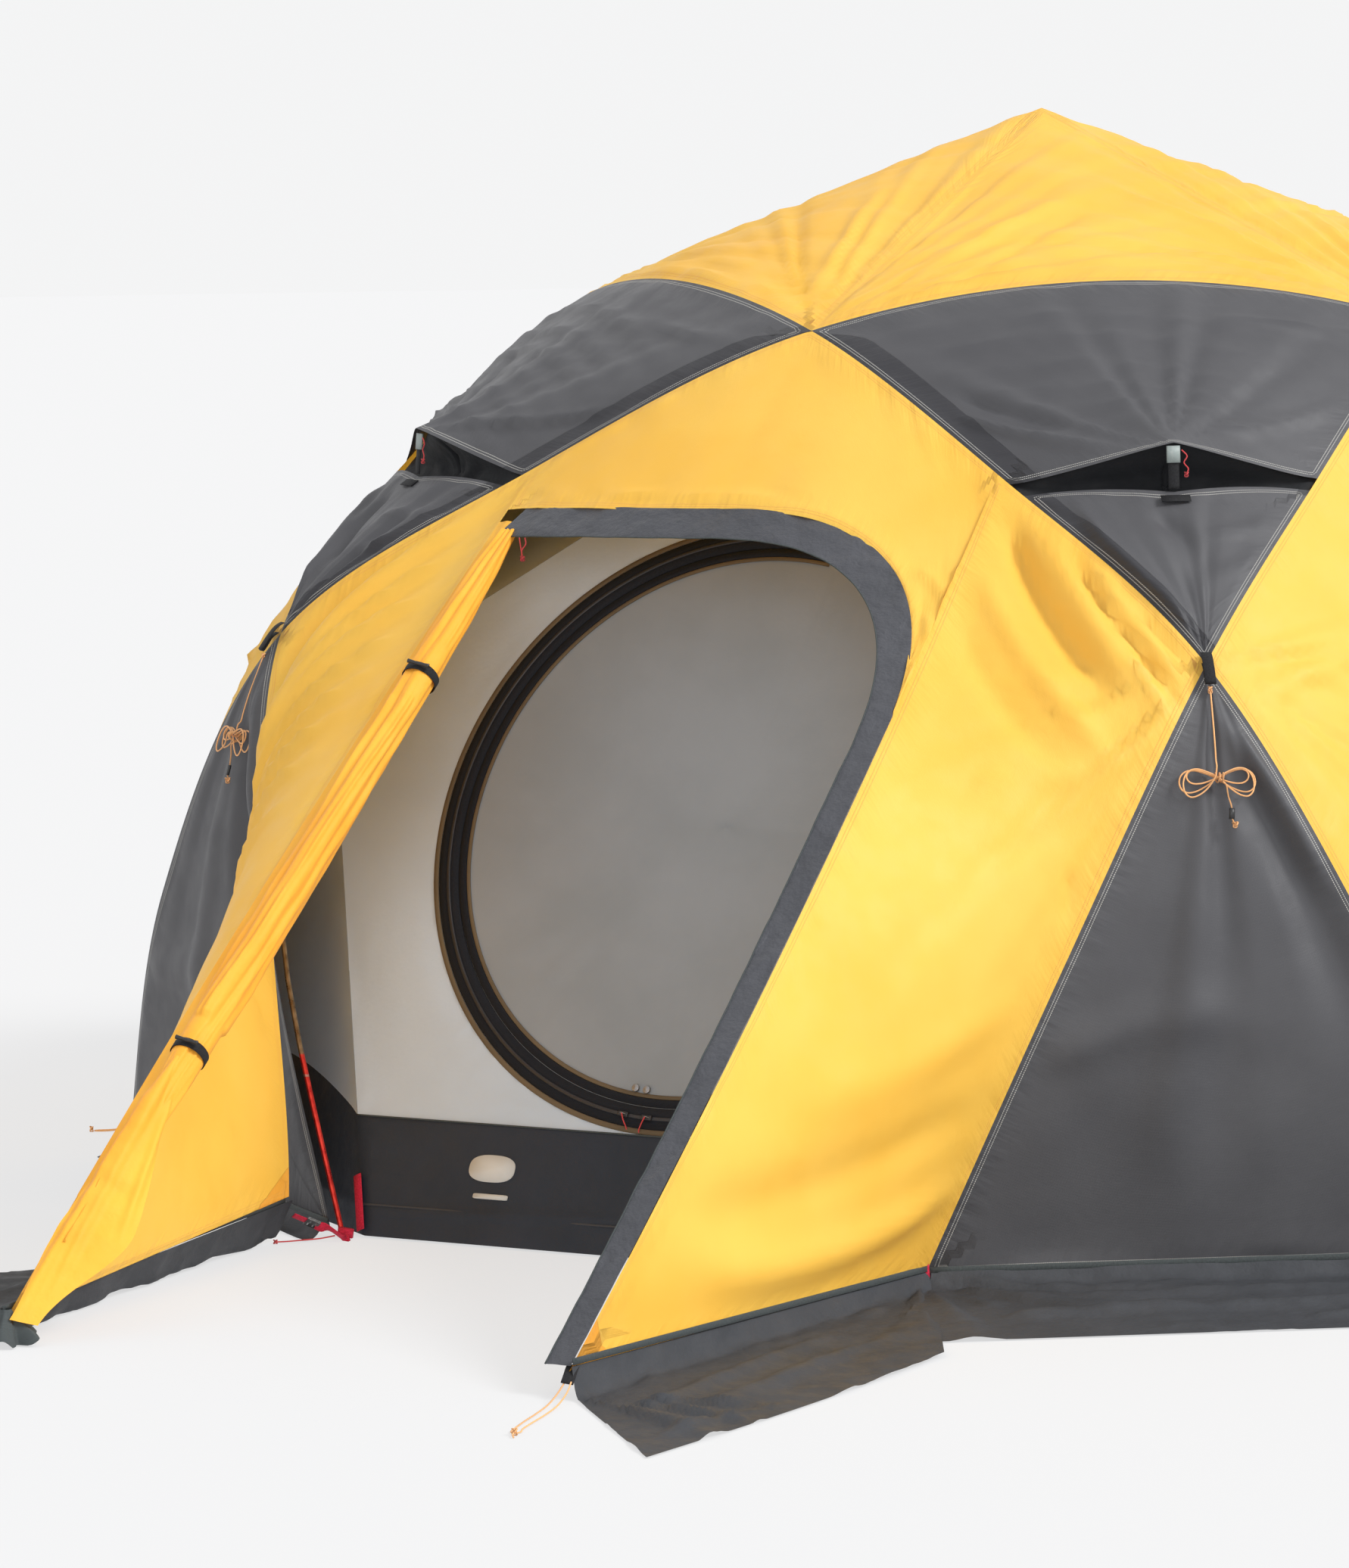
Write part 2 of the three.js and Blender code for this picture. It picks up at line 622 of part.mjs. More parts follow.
const zipArc = (radius) => arc(radius, ZIP_START, ZIP_END, ZIP_STEPS);
const hingeArc = (radius, trim) => arc(radius, ZIP_END + trim, ZIP_START + 360 - trim, HINGE_STEPS);

function buildFrontWall() {
  const toWall = (point) => wallFrame.worldToLocal(point.clone());
  const low = TUB_HEIGHT + 1;
  const corners = [wallCorner(0, -1, low), wallCorner(0, 1, low), innerMid(0), innerCap(0),
    innerMid(-1)].map(toWall);
  const middle = centreOf(...corners);
  const shape = new THREE.Shape(corners.map((corner) => {
    const back = corner.addScaledVector(middle.clone().sub(corner).normalize(), 6);
    return new THREE.Vector2(back.x, back.y);
  }));
  const edge = ZIP_OUTER + ZIP_GAP;
  shape.holes.push(new THREE.Path([...zipArc(edge), ...hingeArc(edge, 0).slice(1, -1)].reverse()));
  add('inner_front_wall', slab(shape, INNER_CLOTH), 'inner_cloth', wallFrame);
}

function buildRoundDoor() {
  const zip = new THREE.Shape([...zipArc(ZIP_OUTER), ...zipArc(ZIP_INNER).reverse()]);
  add('door_zip', slab(zip, INNER_CLOTH + 1), 'zip', wallFrame);

  const door = new THREE.Shape([...zipArc(ZIP_INNER - ZIP_GAP),
    ...hingeArc(ZIP_OUTER - HINGE_SIDE_GAP, 1)]);
  add('inner_door', slab(door, INNER_CLOTH), 'mesh_cloth', wallFrame);

  SLIDER_ANGLES.forEach((angle, i) => {
    const slider = new THREE.BoxGeometry(22, 11, 6);
    const mesh = add(`zip_slider_${i + 1}`, slider, 'zip', wallFrame);
    const radius = (ZIP_OUTER + ZIP_INNER) / 2;
    mesh.position.set(radius * Math.cos(rad(angle)), radius * Math.sin(rad(angle)), 3.5);
    mesh.rotation.z = rad(angle + 90);
  });
}

// ---------------------------------------------------------------- straps and buckle
function webbing(from, to, face, width, thickness) {
  const along = to.clone().sub(from);
  const box = new THREE.BoxGeometry(width, along.length(), thickness);
  return { box, place: mix(from, to, 0.5), along: along.normalize(), face };
}

function buildFootStrap() {
  const foot = outward(footNode(0, -1), -POLE_INSET);
  const start = foot.clone().add(new Vector3(12, -40, 16));
  const end = FLY_CORNER.clone().add(new Vector3(16, -6, -14));
  const buckleAt = 0.58;
  const gap = 17;
  const length = end.distanceTo(start);
  const near = mix(start, end, buckleAt - gap / length);
  const face = new Vector3(-0.6, -0.8, 0.1).normalize();
  const strip = webbing(start, near, face, 20, 2);
  aim(add('foot_strap', strip.box, 'red'), strip.place, strip.along, strip.face);

  const outline = new THREE.Shape();
  outline.moveTo(-15, -13);
  outline.lineTo(15, -13);
  outline.lineTo(15, 13);
  outline.lineTo(-15, 13);
  outline.closePath();
  for (const row of [-1, 1]) {
    const slot = new THREE.Path();
    slot.moveTo(-11, row * 5.5 - 2.5);
    slot.lineTo(-11, row * 5.5 + 2.5);
    slot.lineTo(11, row * 5.5 + 2.5);
    slot.lineTo(11, row * 5.5 - 2.5);
    slot.closePath();
    outline.holes.push(slot);
  }
  const buckle = add('ladder_lock', slab(outline, 5).translate(0, 0, 2.5), 'black_plastic');
  aim(buckle, mix(start, end, buckleAt), strip.along, face);
}

// ---------------------------------------------------------------- cords
// Outline with two round ends, for a hank lying flat.
function stadium(length, width) {
  const shape = new THREE.Shape();
  const half = (length - width) / 2;
  shape.absarc(half, 0, width / 2, -Math.PI / 2, Math.PI / 2, false);
  shape.absarc(-half, 0, width / 2, Math.PI / 2, 1.5 * Math.PI, false);
  shape.closePath();
  return shape;
}

// Points that a guyline follows down the corner panel from its loop, as drops below
// the crossing and distances out from it.
const GUYLINE_ROUTE = [[40, 36], [62, 46], [85, 56], [108, 66], [131, 75], [154, 83], [172, 89]];
const HANK_SIZE = { length: 130, width: 62, depth: 18 };
const HANK_LEAN = 17;           // the cloth that it lies on leans outwards by this

function buildGuylines() {
  for (const [name, side] of [['guyline_right', 1], ['guyline_left', -1]]) {
    const azimuth = (side * STEP) / 2;
    const points = GUYLINE_ROUTE.map(([drop, out]) => polar(azimuth, MID_RADIUS + out, MID_HEIGHT - drop));
    add(name, tube(new THREE.CatmullRomCurve3(points), CORD_DIAMETER, 20), 'cord');
    const hank = new THREE.ExtrudeGeometry(stadium(HANK_SIZE.length, HANK_SIZE.width),
      { depth: HANK_SIZE.depth, bevelEnabled: false, curveSegments: 8 });
    const mesh = add(`${name}_hank`, hank.translate(0, 0, -HANK_SIZE.depth / 2), 'cord');
    const last = points[points.length - 1];
    const up = polar(azimuth, -Math.sin(rad(HANK_LEAN)), Math.cos(rad(HANK_LEAN)));
    const out = polar(azimuth, Math.cos(rad(HANK_LEAN)), Math.sin(rad(HANK_LEAN)));
    const place = last.clone().addScaledVector(up, -HANK_SIZE.width / 2 - 0.5).addScaledVector(out, 6);
    aim(mesh, place, up, out);
  }
}

// Stake loops: two strands side by side on the ground from each vestibule foot.
const LOOP_PATH = [[12, 14, 30], [20, 42, 18], [30, 90, 6], [42, 150, 2.2], [56, 215, 2.2],
  [70, 275, 2.2], [80, 300, 2.2], [76, 312, 2.2], [66, 306, 2.2], [54, 270, 2.2], [38, 210, 2.2],
  [24, 150, 2.2], [12, 90, 6], [4, 42, 18], [0, 14, 30]];

function buildStakeLoops() {
  for (const [name, side] of [['stake_loop_right', 1], ['stake_loop_left', -1]]) {
    const points = LOOP_PATH.map(([x, y, z]) => new Vector3(
      side * (BEAK_FOOT.x + x), BEAK_FOOT.y - y, z));
    add(name, tube(new THREE.CatmullRomCurve3(points), CORD_DIAMETER, 42), 'cord');
  }
}

buildPoles();
buildPeakFrame();
buildRoofCap();
buildVents();
buildSidePanels();
buildCornerPanels();
buildVestibule();
buildRolledDoor();
buildSnowFlaps();
buildFloor();
buildInnerCanopy();
buildFrontWall();
buildRoundDoor();
buildFootStrap();
buildGuylines();
buildStakeLoops();

export default group;
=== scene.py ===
"""Looks of the geodesic dome tent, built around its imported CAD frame. Metres, +Z up, door
towards -Y. Compass angles start at the door and grow towards +X."""

import json
import math

import bmesh
import bpy
import numpy as np
from mathutils import Matrix, Vector

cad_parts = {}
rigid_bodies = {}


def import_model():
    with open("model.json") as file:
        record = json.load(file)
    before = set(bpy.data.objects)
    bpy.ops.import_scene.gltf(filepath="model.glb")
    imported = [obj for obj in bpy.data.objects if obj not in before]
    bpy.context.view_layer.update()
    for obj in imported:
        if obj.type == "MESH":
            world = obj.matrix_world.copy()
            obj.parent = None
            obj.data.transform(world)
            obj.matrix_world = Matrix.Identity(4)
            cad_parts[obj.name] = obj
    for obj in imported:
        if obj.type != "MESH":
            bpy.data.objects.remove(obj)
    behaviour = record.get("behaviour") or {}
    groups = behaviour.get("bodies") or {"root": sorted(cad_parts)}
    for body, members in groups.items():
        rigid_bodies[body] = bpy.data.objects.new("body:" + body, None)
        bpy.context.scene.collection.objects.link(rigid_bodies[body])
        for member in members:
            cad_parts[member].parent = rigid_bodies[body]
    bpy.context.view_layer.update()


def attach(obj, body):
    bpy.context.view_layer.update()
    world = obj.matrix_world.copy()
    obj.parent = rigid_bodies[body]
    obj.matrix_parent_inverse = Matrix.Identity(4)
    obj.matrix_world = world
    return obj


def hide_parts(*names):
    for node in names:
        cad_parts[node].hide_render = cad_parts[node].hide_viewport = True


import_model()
cad_names = {piece.name for piece in bpy.data.objects}

# ---------------------------------------------------------------- dimensions
CAP_RADIUS, CAP_HEIGHT = 1.030, 1.720
MID_RADIUS, MID_HEIGHT = 1.720, 1.125
BASE_RADIUS, FOOT_ANGLE, PEAK_HEIGHT = 1.945, 19.0, 2.145
LEG_BOW, SLOPE_BOW, CAP_BOW = 0.085, 0.040, 0.100
HEM_RISE = 0.02
SIDES, STEP = 5, 72.0
BEAK_FOOT = np.array([0.575, -3.020, 0.045])
BEAK_SEAM, BEAK_BULGE = 0.49, 0.025
ARCH_TOP, ARCH_SPRING, ARCH_CROWN_X, ARCH_POWER = 1.390, 0.950, 0.050, 2.3
ARCH_SHARE, ARCH_FLAT_END, DOOR_LEFT, DOOR_BAND = 0.6, 0.22, -0.495, 0.050
FLY_CORNER = np.array([-0.690, -1.905, 0.068])
CORNER_REACH = 0.550
VENT_MOUTH, VENT_SILL, SILL_DIP = 0.52, 0.555, 0.05
HOOD_RISE, HOOD_DROP = 0.080, 0.04
INNER_RADIUS, GOLDEN_SIN, GOLDEN_COS = 1.893, 0.5257, 0.8507
INNER_FOOT_ANGLE, WALL_LEAN, TUB_HEIGHT = 18.0, 26.57, 0.220
DOOR_CENTRE_HEIGHT = 0.785
ZIP_START, ZIP_END = 78.0, 302.0
ROLL_OFFSET, TIE_PLACES = 0.046, (0.19, 0.735)
# Places along the rolled door, and its radius there.
ROLL_SIZES = ((-0.035, 0.02, 0.12, 0.19, 0.26, 0.5, 0.66, 0.735, 0.80, 0.92, 1.0),
              (0.012, 0.022, 0.029, 0.0315, 0.031, 0.034, 0.034, 0.031, 0.026, 0.014, 0.010))
WALL_HOLE, WELD = 0.6205, 0.0005
TUB_FRONT = 9                   # number of the tub's wall under the round door
TUB_OUT, TUB_UP = np.array([0, -0.894, 0.447]), np.array([0, 0.447, 0.894])
BEAK_INSIDE = (0, -1.5, 0.2)    # a point inside the vestibule
FLAT = np.array([1, 1, 0])
YELLOW, GREY = 0, 1             # the fly's two materials
CAMERA_ANGLES, CAMERA_PLACE = (29.203, 5.875, -0.718), (6.264, -12.808, 2.204)
CAMERA_LENS, SENSOR_WIDTH = 156.21, 36
# Name, direction towards the lamp, power and angular size.
LAMPS = (("key", (0.84, 0.10, 0.72), 2.8, 22), ("fill", (0.44, -0.88, 0.18), 0.62, 30))


# ---------------------------------------------------------------- small maths
def polar(angle, radius, height):
    a = math.radians(angle)
    return np.array([radius * math.sin(a), -radius * math.cos(a), height])


def unit(v):
    return v / np.maximum(np.linalg.norm(v, axis=-1, keepdims=True), 1e-12)


def smooth(x, low, high):
    t = np.clip((np.asarray(x, float) - low) / (high - low), 0, 1)
    return t * t * (3 - 2 * t)


def noise1(x, seed=0):
    """Smooth noise along a line, from -1 to 1, one swing per unit."""
    table = np.random.default_rng(seed).uniform(-1, 1, 256)
    x = np.asarray(x, float)
    i = np.floor(x).astype(int)
    f = x - i
    f = f * f * (3 - 2 * f)
    return table[i % 256] * (1 - f) + table[(i + 1) % 256] * f


def noise2(x, y, seed=0):
    """Smooth noise over a plane, from -1 to 1, one swing per unit."""
    table = np.random.default_rng(seed).uniform(-1, 1, (64, 64))
    x, y = np.broadcast_arrays(np.asarray(x, float), np.asarray(y, float))
    i, j = np.floor(x).astype(int), np.floor(y).astype(int)
    f, g = x - i, y - j
    f, g = f * f * (3 - 2 * f), g * g * (3 - 2 * g)
    low = table[i % 64, j % 64] * (1 - f) + table[(i + 1) % 64, j % 64] * f
    high = table[i % 64, (j + 1) % 64] * (1 - f) + table[(i + 1) % 64, (j + 1) % 64] * f
    return low * (1 - g) + high * g


def layered(x, y, seed=0, octaves=3):
    total = sum(noise2(x * 2.03**k, y * 2.03**k, seed + k) / 1.9**k for k in range(octaves))
    return total / sum(1 / 1.9**k for k in range(octaves))


def catmull(points, t):
    """Centripetal Catmull-Rom curve through points, at t counted in points."""
    points, t = np.asarray(points, float), np.asarray(t, float)
    padded = np.vstack([[2 * points[0] - points[1]], points, [2 * points[-1] - points[-2]]])
    i = np.clip(np.floor(t).astype(int), 0, len(points) - 2)
    f = (t - i)[..., None]
    p0, p1, p2, p3 = (padded[i + n] for n in range(4))
    d0, d1, d2 = (np.sqrt(np.linalg.norm(b - a, axis=-1, keepdims=True))
                  for a, b in ((p0, p1), (p1, p2), (p2, p3)))
    m1 = ((p1 - p0) / d0 - (p2 - p0) / (d0 + d1) + (p2 - p1) / d1) * d1
    m2 = ((p2 - p1) / d1 - (p3 - p1) / (d1 + d2) + (p3 - p2) / d2) * d1
    return (p1 * (2 * f**3 - 3 * f**2 + 1) + m1 * (f**3 - 2 * f**2 + f)
            + p2 * (3 * f**2 - 2 * f**3) + m2 * (f**3 - f**2))


def through(points, count):
    """count points evenly spread along a smooth curve through points."""
    points = np.asarray(points, float)
    fine = catmull(points, np.linspace(0, len(points) - 1, 24 * len(points)))
    run = np.concatenate([[0], np.cumsum(np.linalg.norm(np.diff(fine, axis=0), axis=1))])
    at = np.linspace(0, run[-1], count)
    return np.stack([np.interp(at, run, fine[:, k]) for k in range(3)], 1)


def fixed(point):
    """The edge of a surface that is drawn together into one point."""
    return lambda t: point + 0 * np.asarray(t, float)[..., None]


def stretched(top, bottom, left, right):
    """Surface over u, v stretched between four edge curves."""
    c00, c10, c01, c11 = top(0.0), top(1.0), bottom(0.0), bottom(1.0)

    def surface(u, v):
        u, v = np.broadcast_arrays(np.asarray(u, float), np.asarray(v, float))
        a, b = u[..., None], v[..., None]
        ruled = top(u) * (1 - b) + bottom(u) * b + left(v) * (1 - a) + right(v) * a
        return ruled - c00 * (1 - a) * (1 - b) - c10 * a * (1 - b) - c01 * (1 - a) * b - c11 * a * b

    return surface


def line(a, b):
    return lambda t: a + (b - a) * np.asarray(t, float)[..., None]


# ---------------------------------------------------------------- frame of the dome
def cap_node(i):
    return polar(STEP * i, CAP_RADIUS, CAP_HEIGHT)


def mid_node(i):
    return polar(STEP * (i + 0.5), MID_RADIUS, MID_HEIGHT)


def foot_node(i, side):
    return polar(STEP * i + side * FOOT_ANGLE, BASE_RADIUS, 0.0)


PEAK = np.array([0.0, 0.0, PEAK_HEIGHT])


def rib_points(k):
    nodes = [foot_node(k, 1), mid_node(k), cap_node(k + 1), cap_node(k + 2), mid_node(k + 2),
             foot_node(k + 3, -1)]
    points = []
    for i, bow in enumerate((LEG_BOW, SLOPE_BOW, CAP_BOW, SLOPE_BOW, LEG_BOW)):
        middle = (nodes[i] + nodes[i + 1]) / 2
        points += [nodes[i], middle + unit(middle) * bow]
    return points + [nodes[5]]


RIBS = [rib_points(k) for k in range(SIDES)]


def rib(k, t):
    """Seam line over pole k, at t from 0 to 5 with one unit per stretch."""
    return catmull(RIBS[k % SIDES], 2 * np.asarray(t, float))


def cap_edge(i):
    return lambda t: rib(i - 1, 2 + t)


def fall_edge(i):
    return lambda t: rib(i - 2, 3 + t)


def rise_edge(i):
    return lambda t: rib(i, 2 - t)


def leg_down(i):
    """Crossing i down to the hem above foot i."""
    return lambda t: rib(i, 1 - t * (1 - HEM_RISE))


def far_leg_down(i):
    """Crossing i down to the hem above foot i + 1."""
    return lambda t: rib(i - 2, 4 + t * (1 - HEM_RISE))


def mirrored(points):
    return points * np.array([-1.0, 1.0, 1.0])


# ---------------------------------------------------------------- camera
def add_camera():
    azimuth, elevation, roll = (math.radians(a) for a in CAMERA_ANGLES)
    forward = Vector((-math.sin(azimuth) * math.cos(elevation), math.cos(azimuth) * math.cos(elevation),
                      -math.sin(elevation)))
    right = Vector((math.cos(azimuth), math.sin(azimuth), 0))
    up = right.cross(forward)
    side = right * math.cos(roll) + up * math.sin(roll)
    top = up * math.cos(roll) - right * math.sin(roll)
    camera = bpy.data.objects.new("camera", bpy.data.cameras.new("camera"))
    turned = Matrix([(side[k], top[k], -forward[k]) for k in range(3)]).to_4x4()
    camera.matrix_world = Matrix.Translation(CAMERA_PLACE) @ turned
    camera.data.sensor_width = SENSOR_WIDTH
    camera.data.lens = CAMERA_LENS
    camera.data.clip_end = 200
    bpy.context.scene.collection.objects.link(camera)
    bpy.context.scene.camera = camera


# ---------------------------------------------------------------- materials
class Surface:
    """One procedural material: a Principled shader and short calls that add nodes to it."""

    def __init__(self, name, color, roughness, **sockets):
        self.material = bpy.data.materials.new(name)
        self.material.use_nodes = True
        self.tree = self.material.node_tree
        self.shader = self.tree.nodes["Principled BSDF"]
        self.shader.inputs["Base Color"].default_value = (*color, 1)
        self.shader.inputs["Roughness"].default_value = roughness
        for socket, value in sockets.items():
            self.shader.inputs[socket.replace("_", " ")].default_value = value
        self.heights = []

    def node(self, kind, inputs=None, **settings):
        made = self.tree.nodes.new(kind)
        for key, value in settings.items():
            setattr(made, key, value)
        for key, value in (inputs or {}).items():
            self.put(made.inputs[key], value)
        return made

    def put(self, socket, value):
        if isinstance(value, bpy.types.NodeSocket):
            self.tree.links.new(value, socket)
        elif isinstance(value, (tuple, list)) and len(value) == 3 and socket.type == "RGBA":
            socket.default_value = (*value, 1)
        else:
            socket.default_value = value

    def math(self, operation, *values):
        return self.node("ShaderNodeMath", dict(enumerate(values)), operation=operation).outputs[0]

    def attribute(self, name):
        return self.node("ShaderNodeAttribute", attribute_name=name)

    def split(self, vector):
        return self.node("ShaderNodeSeparateXYZ", {"Vector": vector}).outputs

    def join(self, *values):
        return self.node("ShaderNodeCombineXYZ", dict(enumerate(values))).outputs[0]

    def noise(self, vector, scale, detail=3.0, rough=0.55):
        return self.node("ShaderNodeTexNoise", {"Vector": vector, "Scale": scale, "Detail": detail,
                                                "Roughness": rough}).outputs[0]

    def ramp(self, value, low, high, to_low=0.0, to_high=1.0):
        return self.node("ShaderNodeMapRange", {0: value, 1: low, 2: high, 3: to_low, 4: to_high},
                         interpolation_type="SMOOTHSTEP").outputs[0]

    def mix(self, factor, a, b):
        made = self.node("ShaderNodeMix", data_type="RGBA")
        self.put(made.inputs[0], factor)
        self.put(made.inputs[6], a)
        self.put(made.inputs[7], b)
        return made.outputs[2]

    def place(self):
        return self.node("ShaderNodeTexCoord").outputs["Object"]

    def flat(self):
        return self.node("ShaderNodeUVMap", uv_map="cloth").outputs[0]

    def color(self, socket):
        self.put(self.shader.inputs["Base Color"], socket)

    def rough(self, socket):
        self.put(self.shader.inputs["Roughness"], socket)

    def bump(self, height, distance, strength=1.0):
        """Adds one layer of relief; layers go on top of each other."""
        inputs = {"Height": height, "Distance": distance, "Strength": strength}
        if self.heights:
            inputs["Normal"] = self.heights[-1]
        self.heights.append(self.node("ShaderNodeBump", inputs).outputs[0])
        self.put(self.shader.inputs["Normal"], self.heights[-1])

    def translucent(self, color, share):
        """Lets a share of the light through to the other side, as thin cloth does."""
        glow = self.node("ShaderNodeBsdfTranslucent", {"Color": color})
        if self.heights:
            self.put(glow.inputs["Normal"], self.heights[-1])
        mixed = self.node("ShaderNodeMixShader", {0: share, 1: self.shader.outputs[0], 2: glow.outputs[0]})
        output = self.tree.nodes["Material Output"]
        self.tree.links.new(mixed.outputs[0], output.inputs["Surface"])

    def weave(self, threads_per_metre, depth, ripstop=0.0):
        """Crossing threads, with a heavier thread every few millimetres for ripstop."""
        x, y, _ = self.split(self.flat())
        angle = 2 * math.pi * threads_per_metre
        over = self.math("SINE", self.math("MULTIPLY", x, angle))
        under = self.math("SINE", self.math("MULTIPLY", y, angle))
        self.bump(self.math("MULTIPLY", over, under), depth, 0.5)
        if ripstop:
            lines = [self.math("PINGPONG", axis, ripstop / 2) for axis in (x, y)]
            near = self.math("MINIMUM", *lines)
            self.bump(self.ramp(near, 0.0, 0.0006, 1.0, 0.0), 0.00012, 0.6)


def stitched(surface, rows, color, behind, along, away, pitch=0.004, half=0.0009):
    """Colour with dashed rows of thread at these distances from a seam, and their relief."""
    dash = surface.ramp(surface.math("PINGPONG", along, pitch / 2), 0.0005, 0.0009)
    mask = None
    for row in rows:
        off = surface.math("ABSOLUTE", surface.math("SUBTRACT", away, row))
        one = surface.ramp(off, half * 0.6, half * 1.4, 1.0, 0.0)
        mask = one if mask is None else surface.math("MAXIMUM", mask, one)
    mask = surface.math("MULTIPLY", mask, dash)
    surface.bump(mask, 0.0006, 0.7)
    return surface.mix(mask, behind, color)


def fly_cloth(name, light, dark, thread, share, glow, rough=(0.42, 0.6), band=None):
    """Coated ripstop. The seam attribute holds the run along the nearest seam, the distance
    from it and the panel's number; the edge one holds how far a darker band reaches: sewn
    bands and patches, and painted shade on one grey corner panel."""
    s = Surface(name, light, 0.5, Sheen_Weight=0.04, Sheen_Roughness=0.4, Specular_IOR_Level=0.4)
    run, away, panel = s.split(s.attribute("seam").outputs["Vector"])
    where = s.place()
    cloudy = s.ramp(s.noise(where, 2.2, 4.0), 0.3, 0.7)
    shade = s.mix(cloudy, dark, light)
    fine = s.noise(s.flat(), 900.0, 1.0)
    shade = s.mix(s.ramp(fine, 0.3, 0.7, 0.0, 0.10), shade, dark)
    gather = s.noise(s.join(s.math("MULTIPLY", run, 34.0), s.math("MULTIPLY", away, 7.0), panel), 1.0, 2.0)
    near = s.ramp(away, 0.0, 0.085, 1.0, 0.0)
    s.bump(s.math("MULTIPLY", gather, near), 0.006, 0.8)
    s.bump(s.noise(where, 5.0, 3.0), 0.012, 0.20)
    s.bump(s.noise(s.flat(), 46.0, 3.0), 0.0016, 0.25)
    if band:
        color, reach = band
        beyond = s.math("SUBTRACT", s.attribute("edge").outputs["Fac"], reach)
        inside = s.ramp(beyond, -0.0012, 0.0012, 1.0, 0.0)
        shade = s.mix(inside, shade, color)
        s.bump(inside, 0.0009, 0.8)
        tight = s.noise(s.join(s.math("MULTIPLY", run, 75.0), s.math("MULTIPLY", away, 9.0), 0.3), 1.0, 2.0)
        s.bump(s.math("MULTIPLY", tight, inside), 0.0025, 0.8)
    shade = stitched(s, (0.010, 0.016), thread, shade, run, away)
    s.color(shade)
    s.rough(s.ramp(s.noise(where, 14.0, 2.0), 0.3, 0.7, *rough))
    s.weave(1500.0, 0.00006, 0.0052)
    if share:
        s.translucent(glow, share)
    return s.material


def plain_cloth(name, light, dark, rough, crease=0.0, glow=None, threads=1500.0, sheen=0.05, scale=16.0,
                shine=0.22):
    s = Surface(name, light, rough, Sheen_Weight=sheen, Specular_IOR_Level=shine)
    cloudy = s.ramp(s.noise(s.place(), 5.0, 4.0), 0.3, 0.7)
    speck = s.ramp(s.noise(s.flat(), 1100.0, 1.0), 0.25, 0.75, 0.0, 0.35)
    s.color(s.mix(speck, s.mix(cloudy, dark, light), dark))
    s.rough(s.ramp(s.noise(s.place(), 22.0, 2.0), 0.3, 0.7, rough - 0.08, rough + 0.08))
    if crease:
        s.bump(s.noise(s.place(), scale, 4.0, 0.6), crease, 0.6)
    s.weave(threads, 0.00008)
    if glow:
        s.translucent(glow[0], glow[1])
    return s.material


def webbing_cloth(name, light, dark, ribs=700.0):
    """Woven tape: fine cross ribs."""
    s = Surface(name, light, 0.7, Sheen_Weight=0.02, Specular_IOR_Level=0.2)
    x, y, _ = s.split(s.flat())
    rib_height = s.math("SINE", s.math("MULTIPLY", y, 2 * math.pi * ribs))
    s.bump(s.math("MULTIPLY", rib_height, s.noise(s.flat(), 500.0, 1.0)), 0.0004, 0.8)
    s.color(s.mix(s.ramp(s.noise(s.flat(), 260.0, 3.0), 0.3, 0.7), dark, light))
    return s.material


def hard(name, color, rough, metallic=0.0, wear=None, grain=60.0, depth=0.0004):
    s = Surface(name, color, rough, Metallic=metallic)
    spots = s.noise(s.place(), grain, 4.0, 0.65)
    if wear:
        s.color(s.mix(s.ramp(spots, 0.45, 0.75), color, wear))
    s.rough(s.ramp(spots, 0.3, 0.7, max(rough - 0.1, 0.05), rough + 0.1))
    s.bump(spots, depth, 0.3)
    return s.material


def pole_metal():
    """Bronze anodised tube: red lowest sections, brighter ferrules between sections."""
    s = Surface("pole_metal", (0.20, 0.13, 0.07), 0.32, Metallic=0.75)
    _, _, height = s.split(s.place())
    streak = s.noise(s.place(), 60.0, 3.0)
    bronze = s.mix(s.ramp(streak, 0.3, 0.7), (0.16, 0.105, 0.055), (0.26, 0.18, 0.10))
    red = s.mix(s.ramp(streak, 0.3, 0.7), (0.50, 0.025, 0.02), (0.66, 0.05, 0.035))
    low = s.ramp(height, 0.338, 0.342, 1.0, 0.0)
    joint = s.math("PINGPONG", s.math("ADD", height, 0.02), 0.16)
    color = s.mix(low, bronze, red)
    s.color(s.mix(s.ramp(joint, 0.0015, 0.003, 0.55, 0.0), color, (0.42, 0.38, 0.33)))
    s.rough(s.ramp(streak, 0.3, 0.7, 0.26, 0.42))
    s.bump(streak, 0.0002, 0.3)
    return s.material


def cord_braid(name, light, dark):
    """Braided cord: two crossing spirals of strands and flecks of a darker yarn."""
    s = Surface(name, light, 0.75, Sheen_Weight=0.15)
    x, y, _ = s.split(s.flat())
    turn, run = s.math("MULTIPLY", x, 4 * math.pi * 2), s.math("MULTIPLY", y, 2 * math.pi * 260)
    left = s.math("SINE", s.math("ADD", turn, run))
    right = s.math("SINE", s.math("SUBTRACT", turn, run))
    s.bump(s.math("MAXIMUM", left, right), 0.0005, 0.9)
    s.color(s.mix(s.ramp(s.math("MULTIPLY", left, right), -0.6, 0.9), dark, light))
    return s.material


MATERIAL = {}


